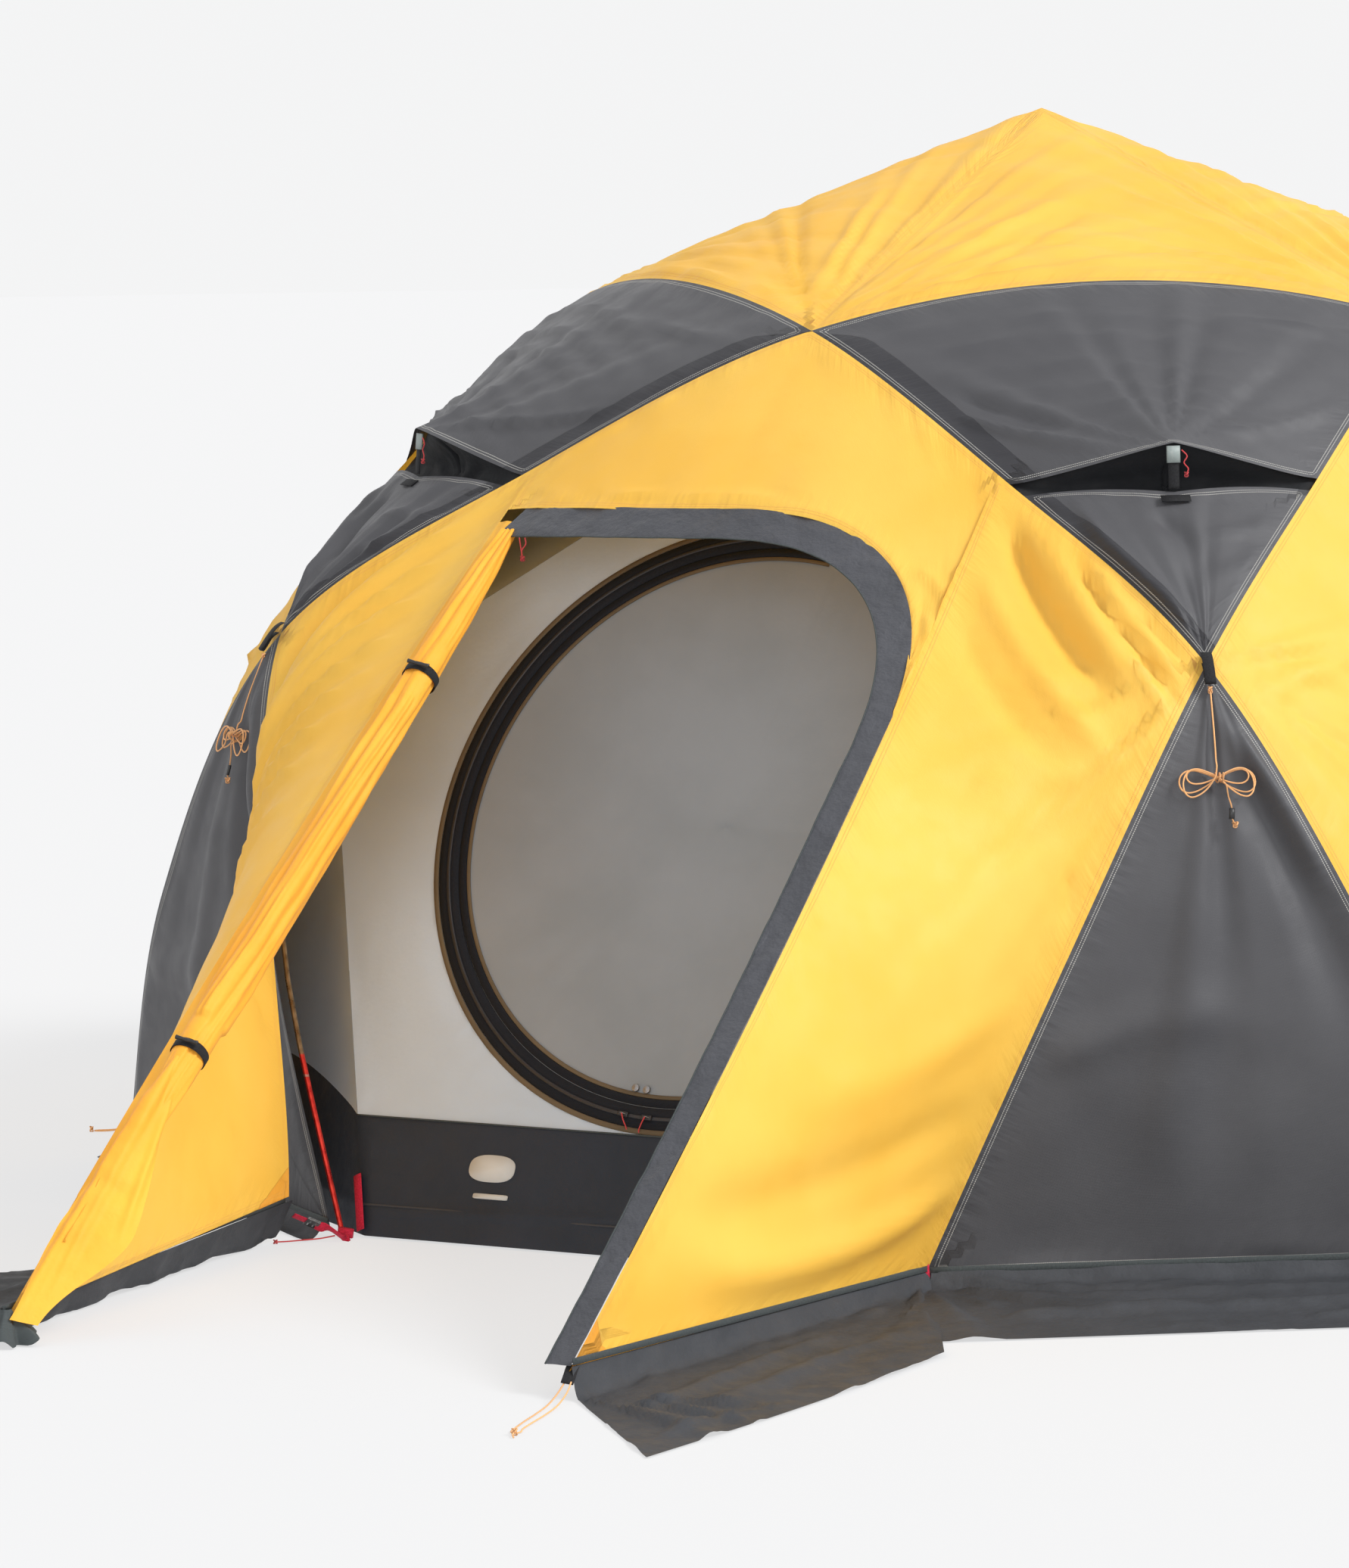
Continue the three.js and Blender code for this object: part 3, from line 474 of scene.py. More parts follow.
def make_materials():
    yellow, deep = (0.99, 0.62, 0.105), (0.97, 0.55, 0.070)
    MATERIAL.update(
        yellow=fly_cloth("fly_yellow", yellow, deep, (0.93, 0.46, 0.10), 0.30, (0.98, 0.52, 0.05),
                         band=((0.94, 0.40, 0.045), 0.0)),
        # The grey's darker band colour serves the sewn bands beside the vestibule and painted shade on the last
        # corner panel.
        grey=fly_cloth("fly_grey", (0.069, 0.069, 0.075), (0.055, 0.055, 0.061), (0.42, 0.41, 0.38), 0.04,
                       (0.08, 0.08, 0.09), (0.46, 0.58), band=((0.026, 0.026, 0.031), 0.0)),
        flap=plain_cloth("flap_grey", (0.060, 0.063, 0.070), (0.048, 0.051, 0.057), 0.58, 0.010, sheen=0.0,
                         shine=0.10),
        band=plain_cloth("band_grey", (0.066, 0.068, 0.078), (0.052, 0.054, 0.062), 0.44, 0.016, scale=24.0),
        patch=plain_cloth("patch_orange", (0.93, 0.40, 0.045), (0.88, 0.35, 0.03), 0.55, 0.004,
                          ((0.95, 0.40, 0.02), 0.25)),
        roll=plain_cloth("roll_yellow", (0.97, 0.52, 0.060), (0.94, 0.44, 0.040), 0.5, 0.006,
                         ((0.98, 0.5, 0.03), 0.22)),
        wall=plain_cloth("inner_wall", (0.64, 0.73, 0.84), (0.60, 0.685, 0.79), 0.8, 0.003,
                         ((0.56, 0.62, 0.70), 0.22), 900.0),
        mesh=plain_cloth("door_mesh", (0.33, 0.355, 0.385), (0.295, 0.32, 0.345), 0.85, 0.002,
                         ((0.34, 0.36, 0.39), 0.15), 600.0),
        tub=plain_cloth("tub_cloth", (0.026, 0.034, 0.050), (0.020, 0.027, 0.040), 0.5, 0.006),
        tape=webbing_cloth("tape_grey", (0.068, 0.080, 0.081), (0.048, 0.056, 0.058)),
        tan=plain_cloth("tape_tan", (0.22, 0.165, 0.10), (0.16, 0.12, 0.075), 0.7, 0.001,
                        ((0.25, 0.19, 0.12), 0.3), 800.0),
        red=webbing_cloth("webbing_red", (0.60, 0.022, 0.06), (0.42, 0.012, 0.035)),
        black_web=webbing_cloth("webbing_black", (0.018, 0.018, 0.02), (0.01, 0.01, 0.011)),
        coil=hard("zip_coil", (0.02, 0.02, 0.024), 0.45, 0.0, (0.035, 0.035, 0.04), 300.0),
        zip=webbing_cloth("zip_tape", (0.014, 0.017, 0.025), (0.009, 0.011, 0.016), 420.0),
        black=hard("plastic_black", (0.017, 0.017, 0.018), 0.42, 0.0, (0.03, 0.03, 0.03), 220.0),
        cap=hard("plastic_grey_green", (0.24, 0.28, 0.27), 0.5, 0.0, (0.3, 0.33, 0.32), 120.0),
        steel=hard("metal_grey", (0.30, 0.30, 0.31), 0.35, 0.85, (0.42, 0.42, 0.43), 90.0),
        pole=pole_metal(),
        cord=cord_braid("cord_orange", (0.98, 0.58, 0.28), (0.85, 0.42, 0.16)),
        red_cord=cord_braid("cord_red", (0.80, 0.16, 0.12), (0.55, 0.03, 0.04)),
        lining=plain_cloth("vent_lining", (0.016, 0.017, 0.020), (0.011, 0.012, 0.014), 0.7, 0.006),
        pale=plain_cloth("mark_pale", (0.62, 0.62, 0.60), (0.56, 0.56, 0.54), 0.6),
        piping=plain_cloth("piping_dark", (0.060, 0.060, 0.066), (0.045, 0.045, 0.05), 0.5, 0.001),
    )


# ---------------------------------------------------------------- mesh building
def link(name, mesh, materials, body="root"):
    """Puts a piece into the scene. A piece named as one of the CAD's stands for it."""
    piece = bpy.data.objects.new(name, mesh)
    bpy.context.scene.collection.objects.link(piece)
    for material in [materials] if isinstance(materials, str) else materials:
        mesh.materials.append(MATERIAL[material])
    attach(piece, body)
    if name in cad_names:
        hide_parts(name)
    return piece


def walked(points, axis):
    """Distance walked along the rows or columns of a grid, from its first point."""
    steps = np.cumsum(np.linalg.norm(np.diff(points, axis=axis), axis=2), axis=axis)
    return np.concatenate([np.zeros_like(np.take(steps, [0], axis)), steps], axis)


class Sheets:
    """Gathers grids of points into one mesh, with a flat map in metres and seam data."""

    def __init__(self):
        self.points, self.faces, self.flat, self.seam, self.edge, self.look = [], [], [], [], [], []
        self.count = 0

    def add(self, points, look=0, seam=None, edge=None, flip=False, closed=False):
        """points is rows x columns x 3. closed joins the last column to the first."""
        points = np.asarray(points, float)
        rows, columns = points.shape[:2]
        across, down = walked(points, 1), walked(points, 0)
        index = self.count + np.arange(rows * columns).reshape(rows, columns)
        if closed:
            index = np.hstack([index, index[:, :1]])
        a, b, c, d = index[:-1, :-1], index[:-1, 1:], index[1:, 1:], index[1:, :-1]
        quads = np.stack([a, d, c, b] if flip else [a, b, c, d], -1).reshape(-1, 4)
        self.faces.append(quads)
        self.look.append(np.full(len(quads), look))
        self.points.append(points.reshape(-1, 3))
        self.flat.append(np.stack([across, down], -1).reshape(-1, 2))
        self.seam.append(np.zeros((rows * columns, 3)) + 1 if seam is None else seam.reshape(-1, 3))
        self.edge.append(np.ones(rows * columns) if edge is None else edge.reshape(-1))
        self.count += rows * columns
        return self

    def mesh(self, name, weld=0.0):
        points, faces = np.vstack(self.points), np.vstack(self.faces)
        flat, seam, edge = np.vstack(self.flat), np.vstack(self.seam), np.concatenate(self.edge)
        corners = faces.reshape(-1)
        mesh = bpy.data.meshes.new(name)
        mesh.vertices.add(len(points))
        mesh.vertices.foreach_set("co", points.astype(np.float32).ravel())
        mesh.loops.add(len(corners))
        mesh.loops.foreach_set("vertex_index", corners.astype(np.int32))
        mesh.polygons.add(len(faces))
        mesh.polygons.foreach_set("loop_start", np.arange(0, len(corners), 4, dtype=np.int32))
        mesh.polygons.foreach_set("material_index", np.concatenate(self.look).astype(np.int32))
        mesh.update(calc_edges=True)
        mesh.uv_layers.new(name="cloth").data.foreach_set("uv", flat[corners].astype(np.float32).ravel())
        for label, kind, field, data in (("seam", "FLOAT_VECTOR", "vector", seam),
                                         ("edge", "FLOAT", "value", edge)):
            layer = mesh.attributes.new(label, kind, "CORNER")
            layer.data.foreach_set(field, data[corners].astype(np.float32).ravel())
        mesh.validate()
        if weld:
            work = bmesh.new()
            work.from_mesh(mesh)
            bmesh.ops.remove_doubles(work, verts=work.verts, dist=weld)
            bmesh.ops.dissolve_degenerate(work, edges=work.edges, dist=1e-6)
            work.to_mesh(mesh)
            work.free()
        mesh.shade_smooth()
        return mesh


def cloth_piece(name, sheets, material, body="root", weld=0.0):
    """A cloth piece made from sheets."""
    piece = link(name, sheets.mesh(name, weld), material, body)
    return piece


def shell(name, rings, material, body="root", flip=False):
    """A piece made of one row of closed rings."""
    return link(name, Sheets().add(rings, closed=True, flip=flip).mesh(name), material, body)


def capped(rings):
    """Closes both ends of a row of rings with a flat fan."""
    first, last = (np.repeat(ring.mean(0)[None, None], rings.shape[1], 1) for ring in (rings[0], rings[-1]))
    return np.concatenate([first, rings, last])


def frames(path):
    """Two unit normals at each point of a path, turning as little as they can."""
    path = np.asarray(path, float)
    along = unit(np.gradient(path, axis=0))
    start = np.cross(along[0], [0.0, 0.0, 1.0])
    if np.linalg.norm(start) < 0.05:
        start = np.cross(along[0], [1.0, 0.0, 0.0])
    side = [unit(start)]
    for step in along[1:]:
        side.append(unit(side[-1] - step * (side[-1] @ step)))
    side = np.array(side)
    return side, np.cross(along, side)


def tube(name, path, radius, material, around=10, body="root"):
    """Round tube with closed, slightly rounded ends. radius may vary along it."""
    path = np.asarray(path, float)
    radius = np.broadcast_to(np.asarray(radius, float), (len(path),))
    first = path[0] + unit(path[0] - path[1]) * radius[0] * 0.35
    last = path[-1] + unit(path[-1] - path[-2]) * radius[-1] * 0.35
    path = np.vstack([first, path, last])
    radius = np.concatenate([[radius[0] * 0.05], radius, [radius[-1] * 0.05]])[:, None, None]
    side, up = frames(path)
    turn = np.linspace(0, 2 * math.pi, around, endpoint=False)[None, :, None]
    rings = path[:, None] + radius * (np.cos(turn) * side[:, None] + np.sin(turn) * up[:, None])
    return shell(name, rings, material, body, flip=True)


def ribbon(name, path, face, width, thickness, material, body="root"):
    """Flat strap along a path; face is the direction that its broad side looks in."""
    path = np.asarray(path, float)
    along = unit(np.gradient(path, axis=0))
    face = np.broadcast_to(np.asarray(face, float), path.shape)
    face = unit(face - along * np.sum(face * along, axis=1, keepdims=True))
    side = np.cross(along, face)
    half, deep, soft = width / 2, thickness / 2, min(thickness * 0.4, width * 0.2)
    lower = [(-half, -deep + soft), (-half + soft, -deep), (half - soft, -deep), (half, -deep + soft)]
    outline = lower + [(-x, -z) for x, z in lower]
    rings = np.stack([path + side * x + face * z for x, z in outline], 1)
    return shell(name, capped(rings), material, body)


# ---------------------------------------------------------------- fly
CAP_STEPS, GORE_STEPS, HOOD_STEPS, SILL_STEPS = 76, 60, 28, 30
BROW_ROWS, SIDE_ROWS = 28, 48
BROW_SHARE = 0.365              # of the vestibule's seam that lies above the arch's spring
HOOD_V = np.concatenate([np.linspace(0, BEAK_SEAM / VENT_MOUTH, HOOD_STEPS + 1), [0.97, 1.0]])
SLOPE_T = np.concatenate([VENT_MOUTH * HOOD_V,
                          VENT_SILL + (1 - VENT_SILL) * np.linspace(0, 1, SILL_STEPS + 1)])
LEG_T = np.concatenate([np.linspace(0, BROW_SHARE, BROW_ROWS + 1),
                        np.linspace(BROW_SHARE, 1, SIDE_ROWS + 1)[1:]])


class Panel:
    """One cloth panel: a grid on a surface, pushed along its normals by folds."""

    def __init__(self, surface, us, vs, inside=(0, 0, 0.5), pinned="lrtb"):
        self.surface = surface
        self.u, self.v = np.meshgrid(us, vs)
        self.points = surface(self.u, self.v)
        across, down = walked(self.points, 1), walked(self.points, 0)
        self.gap = {"l": across, "r": across[:, -1:] - across, "t": down, "b": down[-1:] - down}
        self.run = {"l": down, "r": down, "t": across, "b": across}
        normal = np.cross(np.gradient(self.points, axis=1), np.gradient(self.points, axis=0))
        lost = np.linalg.norm(normal, axis=2) < 1e-9
        normal = unit(normal)
        normal[lost] = unit(normal[~lost].mean(0))
        self.flip = np.sum(normal * (self.points - np.array(inside))) > 0
        self.normal = normal if self.flip else -normal
        flat = self.points.reshape(-1, 3)
        self.centre = flat.mean(0)
        self.axes = np.linalg.svd(flat - self.centre, full_matrices=False)[2][:2]
        self.x, self.y = np.moveaxis((self.points - self.centre) @ self.axes.T, -1, 0)
        self.offset = np.zeros(self.x.shape)
        self.pinned = pinned

    def set_axes(self, x_sign, y_sign):
        """Turns the axes, whose own signs can go either way, so that the first corner has these signs."""
        turn = np.array([x_sign * np.sign(self.x[0, 0]), y_sign * np.sign(self.y[0, 0])])
        self.axes = self.axes * turn[:, None]
        self.x, self.y = self.x * turn[0], self.y * turn[1]

    def at(self, place):
        return (self.surface(np.array(place[0]), np.array(place[1])) - self.centre) @ self.axes.T

    def ridge(self, start, end, width, height, bend=0.0):
        """A fold from one u, v to another, steeper on one side than on the other."""
        a, b = self.at(start), self.at(end)
        run = np.linalg.norm(b - a)
        d = (b - a) / run
        t = ((self.x - a[0]) * d[0] + (self.y - a[1]) * d[1]) / run
        off = (self.y - a[1]) * d[0] - (self.x - a[0]) * d[1]
        off = (off - bend * np.sin(math.pi * np.clip(t, 0, 1))) / (width * (0.55 + 0.45 * np.clip(t, 0, 1)))
        body = smooth(t, -0.06, 0.22) * smooth(t, 1.06, 0.72)
        self.offset += height * body * (1 - 0.5 * off) * np.exp(-off * off)

    def swath(self, start, end, step, count, width, height, bend, seed):
        """Several folds side by side, each moved on by step in u, v."""
        random = np.random.default_rng(seed)
        for n in range(count):
            shift = np.array(step) * n
            a, b = np.array(start) + shift, np.array(end) + shift * random.uniform(0.75, 1.25)
            scale = random.uniform(0.65, 1.15)
            self.ridge(np.clip(a, 0, 1), np.clip(b, 0, 1), width * random.uniform(0.75, 1.3),
                       height * scale, bend * random.uniform(0.6, 1.4))

    def rays(self, corner, toward, spread, count, height, reach, seed):
        """Folds that fan out from a corner."""
        a, b = self.at(corner), self.at(toward)
        x, y = self.x - a[0], self.y - a[1]
        angle = np.arctan2(y, x) - math.atan2(b[1] - a[1], b[0] - a[0])
        angle = np.degrees((angle + math.pi) % (2 * math.pi) - math.pi)
        far = np.hypot(x, y)
        swing = noise1(angle * count / spread + 0.15 * noise1(far * 6, seed + 7), seed)
        body = smooth(np.abs(angle), spread, spread * 0.6) * (far / reach) * np.exp(1 - (far / reach))
        self.offset += height * swing * body

    def billow(self, size, height, seed):
        self.offset += height * layered(self.x / size + 9, self.y / size + 9, seed)

    def gather(self, edge, wave, height, depth, seed):
        """Short folds across one edge, dying out within depth."""
        gap, run = self.gap[edge], self.run[edge]
        swing = noise1(run / wave + 0.4 * noise1(gap * 30, seed + 3), seed)
        self.offset += height * swing * smooth(gap, 0, 0.012) * np.exp(-gap / depth)

    def displaced(self, lift=0.0):
        hold = np.min([self.gap[e] for e in self.pinned], axis=0) if self.pinned else np.ones_like(self.x)
        push = self.offset * smooth(hold, 0, 0.035)
        return self.points + self.normal * (push + lift)[..., None]

    def add_to(self, sheets, look, number, seams, bands_and_painted_shade=None):
        """Adds the grid, with its nearest sewn edge and the reach of any darker bands: sewn bands, patches and
        painted shade.
        """
        stack = np.stack([self.gap[e] for e in seams])
        run = np.choose(stack.argmin(0), [self.run[e] for e in seams])
        seam = np.stack([run, stack.min(0), np.full(run.shape, 0.37 * number)], -1)
        edge = np.ones_like(run)
        for side, reach in (bands_and_painted_shade or {}).items():
            edge = np.minimum(edge, self.gap[side] - reach(self.run[side]))
        return sheets.add(self.displaced(), look, seam, edge, flip=not self.flip)


def bump_across(u):
    return 1 - np.abs(2 * u - 1) ** 1.15


def triangle(i):
    left = fall_edge(i)
    return stretched(cap_edge(i), fixed(left(1.0)), left, rise_edge(i))


def triangle_normal(i):
    normal = unit(np.cross(cap_node(i + 1) - cap_node(i), mid_node(i) - cap_node(i)))
    return normal if normal @ mid_node(i) > 0 else -normal


def hood_surface(i):
    flat, normal = triangle(i), triangle_normal(i)

    def surface(u, v):
        u, v = np.asarray(u, float), np.asarray(v, float)
        depth = v * (VENT_MOUTH + HOOD_DROP * bump_across(u))
        return flat(u, depth) + normal * (HOOD_RISE * bump_across(u) ** 1.8 * v**3)[..., None]

    return surface


def sill_surface(i):
    flat = triangle(i)

    def surface(u, v):
        start = VENT_SILL + SILL_DIP * bump_across(u)
        return flat(u, start + (1 - start) * v)

    return surface


def make_roof(sheets):
    for i in range(SIDES):
        surface = stretched(cap_edge(i), fixed(PEAK), line(cap_node(i), PEAK), line(cap_node(i + 1), PEAK))
        gore = Panel(surface, np.linspace(0, 1, CAP_STEPS + 1), np.linspace(0, 1, GORE_STEPS + 1))
        gore.billow(0.40, 0.007, 10 + i)
        gore.rays((0, 0), (0.5, 0.35), 40, 15, 0.008, 0.36, 20 + i)
        gore.rays((1, 0), (0.5, 0.35), 40, 15, 0.008, 0.36, 30 + i)
        gore.gather("t", 0.045, 0.005, 0.06, 40 + i)
        gore.gather("l", 0.060, 0.0018, 0.06, 42 + i)
        gore.gather("r", 0.060, 0.0018, 0.06, 43 + i)
        gore.ridge((0.10, 0.06), (0.50, 0.50), 0.020, 0.008)
        gore.ridge((0.22, 0.04), (0.52, 0.42), 0.018, -0.007)
        gore.ridge((0.92, 0.08), (0.56, 0.60), 0.020, 0.008)
        gore.add_to(sheets, YELLOW, i, "lrt")


def make_vents(sheets):
    us = np.linspace(0, 1, CAP_STEPS + 1)
    for i in range(SIDES):
        # The two sides next to the vestibule have a darker band along their shared seam.
        shaded = {0: "l", 4: "r"}.get(i)
        hood = Panel(hood_surface(i), us, HOOD_V, pinned="lrt")
        hood.billow(0.34, 0.005, 50 + i)
        hood.gather("t", 0.045, 0.003, 0.050, 60 + i)
        hood.rays((0.5, 1.0), (0.5, 0.2), 75, 13, 0.007, 0.24, 70 + i)
        hood.swath((0.05, 0.16), (0.92, 0.40), (0.0, 0.13), 6, 0.014, 0.007, 0.03, 80 + i)
        hood.ridge((0.05, 0.62), (0.36, 0.93), 0.016, 0.014, -0.01)
        hood.ridge((0.09, 0.52), (0.30, 0.80), 0.015, -0.010, -0.01)
        hood.ridge((0.95, 0.20), (0.60, 0.26), 0.018, 0.010, 0.01)
        hood.ridge((0.95, 0.62), (0.62, 0.90), 0.016, 0.010, 0.01)
        hood.add_to(sheets, GREY, 10 + i, "lrtb",
                    shaded and {shaded: lambda run: 0.062 * smooth(run, 0.0, 0.10)})
        sill = Panel(sill_surface(i), us, np.linspace(0, 1, SILL_STEPS + 1))
        sill.billow(0.25, 0.010, 90 + i)
        sill.rays((0.5, 1.0), (0.5, 0.0), 34, 7, 0.006, 0.22, 95 + i)
        sill.ridge((0.12, 0.10), (0.30, 0.86), 0.026, 0.014, 0.02)
        sill.ridge((0.40, 0.14), (0.52, 0.60), 0.034, -0.014, -0.02)
        sill.ridge((0.60, 0.30), (0.95, 0.24), 0.020, 0.008, 0.01)
        sill.ridge((0.72, 0.52), (0.98, 0.44), 0.016, 0.007, 0.01)
        sill.gather("r", 0.05, 0.009, 0.05, 99 + i)
        sill.gather("l", 0.04, 0.007, 0.04, 98 + i)
        sill.add_to(sheets, GREY, 20 + i, "lrt", shaded and {shaded: lambda run: 0.045 + 0 * run})


def make_linings():
    """Dark cloth that sags behind each vent's mouth."""
    for i in range(SIDES):
        hood, sill, normal = hood_surface(i), sill_surface(i), triangle_normal(i)
        high = lambda t: hood(t, 0.95 + 0 * t) - normal * 0.009
        low = lambda t: sill(t, 0.06 + 0 * t) - normal * 0.014
        panel = Panel(stretched(high, low, line(high(0.0), low(0.0)), line(high(1.0), low(1.0))),
                      np.linspace(0.005, 0.995, 49), np.linspace(0, 1, 25))
        panel.set_axes(-1, 1 if i in (0, 2, 3) else -1)
        panel.offset -= 0.088 * (4 * panel.v * (1 - panel.v) * bump_across(panel.u))
        panel.rays((0.5, 1.0), (0.5, 0.0), 70, 9, 0.008, 0.12, 210 + i)
        cloth_piece(f"vent_lining_{i + 1}", panel.add_to(Sheets(), 0, 200 + i, "lr"), "lining")


def pentagon(i):
    def top(t):
        t = np.asarray(t, float)
        rising = rise_edge(i - 1)(np.clip(1 - 2 * t, 0, 1))
        falling = fall_edge(i)(np.clip(2 * t - 1, 0, 1))
        return np.where(t[..., None] < 0.5, rising, falling)

    left, right = far_leg_down(i - 1), leg_down(i)
    return stretched(top, line(left(1.0), right(1.0)), left, right)


def make_sides(sheets):
    us = np.concatenate([(1 - SLOPE_T[::-1]) / 2, 0.5 + SLOPE_T[1:] / 2])
    for i in range(1, SIDES):
        side = Panel(pentagon(i), us, LEG_T)
        side.billow(0.45, 0.009, 100 + i)
        side.rays((0, 0), (0.35, 0.5), 55, 13, 0.010, 0.20, 110 + i)
        side.rays((1, 0), (0.65, 0.5), 55, 13, 0.007, 0.20, 120 + i)
        side.rays((0.5, 0), (0.5, 0.6), 40, 7, 0.008, 0.3, 130 + i)
        side.ridge((0.02, 0.10), (0.34, 0.30), 0.026, 0.016, 0.03)
        side.ridge((0.02, 0.04), (0.20, 0.26), 0.020, -0.012, 0.02)
        side.ridge((0.98, 0.10), (0.66, 0.32), 0.026, 0.016, -0.03)
        side.ridge((0.08, 0.92), (0.50, 0.70), 0.05, 0.016, 0.03)
        side.add_to(sheets, YELLOW, 30 + i, "lrtb")


def make_corners(sheets):
    for i in range(SIDES):
        left, right = leg_down(i), far_leg_down(i)
        corner = Panel(stretched(fixed(left(0.0)), line(left(1.0), right(1.0)), left, right),
                       np.linspace(0, 1, 61), LEG_T)
        corner.billow(0.45, 0.014, 140 + i)
        corner.rays((0.5, 0), (0.5, 1.0), 30, 5, 0.006, 0.30, 150 + i)
        corner.ridge((0.50, 0.14), (0.86, 0.66), 0.055, -0.018, 0.03)
        corner.ridge((0.62, 0.10), (0.95, 0.40), 0.035, 0.014, 0.02)
        corner.ridge((0.05, 0.66), (0.60, 0.58), 0.060, 0.012, 0.03)
        corner.ridge((0.42, 0.30), (0.40, 0.86), 0.06, 0.010)
        # Painted shade: the last corner panel, left of the door, gets the darker band colour over the lower part
        # of its right edge.
        shaded = {"r": lambda run: 0.20 * smooth(run, 0.5, 1.2)} if i == SIDES - 1 else None
        corner.add_to(sheets, GREY, 40 + i, "lrb", shaded)


# ---------------------------------------------------------------- vestibule
# Ridges of the vestibule's right side: start and end in u, v, then width, height and bend.
RIGHT_WALL_FOLDS = (
    ((0.10, 0.03), (0.74, 0.150), 0.020, -0.028, -0.030),
    ((0.18, 0.02), (0.84, 0.125), 0.013, 0.014, -0.030),
    ((0.26, 0.01), (0.90, 0.100), 0.016, 0.020, -0.030),
    ((0.36, 0.02), (0.95, 0.085), 0.015, -0.024, -0.020),
    ((0.44, 0.01), (0.96, 0.065), 0.010, 0.012, -0.020),
    ((0.50, 0.005), (0.97, 0.050), 0.012, 0.014, -0.015),
    ((0.57, 0.012), (0.98, 0.030), 0.012, -0.017, -0.008),
    ((0.06, 0.10), (0.86, 0.225), 0.024, 0.017, -0.040),
    ((0.04, 0.15), (0.70, 0.265), 0.024, -0.010, -0.040),
    ((0.97, 0.10), (0.62, 0.30), 0.022, 0.010, 0.030),
    ((0.97, 0.16), (0.55, 0.42), 0.020, -0.008, 0.030),
    ((0.86, 0.38), (0.95, 0.44), 0.014, -0.012, 0.010),
    ((0.40, 0.33), (0.50, 0.30), 0.012, 0.006, 0.0),
    ((0.97, 0.86), (0.24, 0.93), 0.050, 0.022, 0.045),
    ((0.93, 0.74), (0.06, 0.86), 0.060, -0.012, 0.040),
    ((0.90, 0.58), (0.30, 0.74), 0.060, 0.010, 0.030))


def beak_top(u):
    u = np.asarray(u, float)
    point = fall_edge(0)(np.abs(2 * u - 1) * BEAK_SEAM)
    return np.where(u[..., None] < 0.5, mirrored(point), point)


def front_face(u, height):
    """The front face is ruled from its upper edge down to the line between its feet."""
    u, height = np.broadcast_arrays(np.asarray(u, float), np.asarray(height, float))
    top = beak_top(u)
    bottom = mirrored(BEAK_FOOT) + (BEAK_FOOT - mirrored(BEAK_FOOT)) * u[..., None]
    fall = (top[..., 2] - height) / (top[..., 2] - bottom[..., 2])
    point = top + (bottom - top) * fall[..., None]
    point[..., 0] += (2 * u - 1) * BEAK_BULGE * 4 * fall * (1 - fall)
    return point


def u_at(x, height):
    """The u at which the face's point at this height lies at x."""
    low, high = np.zeros(np.shape(x)), np.ones(np.shape(x))
    for _ in range(30):
        middle = (low + high) / 2
        less = front_face(middle, height)[..., 0] < x
        low, high = np.where(less, middle, low), np.where(less, high, middle)
    return (low + high) / 2


def beak_side(side):
    """Front edge of the vestibule's side, from its seam crossing down to the foot."""
    top = beak_top(1.0)[2]
    return lambda t: front_face(1.0 if side > 0 else 0.0, top + (BEAK_FOOT[2] - top) * np.asarray(t, float))


def arch_edge(t, inset):
    """Door edge as x and height, from its upper left corner over the arch to the right foot."""
    t, inset = np.broadcast_arrays(np.asarray(t, float), np.asarray(inset, float))
    side_x = lambda height: front_face(1.0, height)[..., 0] - inset
    side = side_x(ARCH_SPRING)
    rise = ARCH_TOP - inset - ARCH_SPRING
    s = np.clip(t / ARCH_FLAT_END, 0, 1)
    angle = np.clip((t - ARCH_FLAT_END) / (ARCH_SHARE - ARCH_FLAT_END), 0, 1) * math.pi / 2
    power = 2 / ARCH_POWER
    low = ARCH_SPRING + (BEAK_FOOT[2] + 0.006 - ARCH_SPRING) * (t - ARCH_SHARE) / (1 - ARCH_SHARE)
    x = np.where(t < ARCH_FLAT_END, DOOR_LEFT + (ARCH_CROWN_X - DOOR_LEFT) * s,
                 ARCH_CROWN_X + (side - ARCH_CROWN_X) * np.sin(angle) ** power)
    height = np.where(t < ARCH_FLAT_END, ARCH_SPRING + rise - 0.012 * (1 - s) ** 2,
                      ARCH_SPRING + rise * np.maximum(np.cos(angle), 0) ** power)
    return (np.where(t < ARCH_SHARE, x, side_x(np.minimum(low, ARCH_SPRING))),
            np.where(t < ARCH_SHARE, height, low))


def make_brow(sheets):
    share = np.linspace(0, 1, 111)
    x, height = arch_edge(share * ARCH_SHARE, 0.0)
    u = u_at(x, height)
    u = u - u[0] * (1 - share) ** 6 + (1 - u[-1]) * share**6

    def surface(s, v):
        uu, low = np.interp(s, share, u), np.interp(s, share, height)
        top = beak_top(uu)[..., 2]
        return front_face(uu, top + (low - top) * v)

    brow = Panel(surface, share, np.linspace(0, 1, BROW_ROWS + 1), BEAK_INSIDE, "lrt")
    brow.billow(0.40, 0.010, 171)
    brow.gather("r", 0.034, 0.006, 0.06, 172)
    brow.gather("b", 0.09, 0.006, 0.12, 173)
    brow.gather("l", 0.034, 0.005, 0.06, 175)
    brow.gather("t", 0.050, 0.005, 0.06, 176)
    brow.ridge((0.16, 0.90), (0.46, 0.93), 0.010, 0.009)
    brow.ridge((0.98, 0.45), (0.72, 0.82), 0.016, 0.006, 0.01)
    brow.ridge((0.98, 0.60), (0.78, 0.90), 0.014, 0.005, 0.01)
    brow.ridge((0.98, 0.76), (0.86, 0.95), 0.012, 0.004, 0.01)
    brow.add_to(sheets, YELLOW, 50, "lrtb")


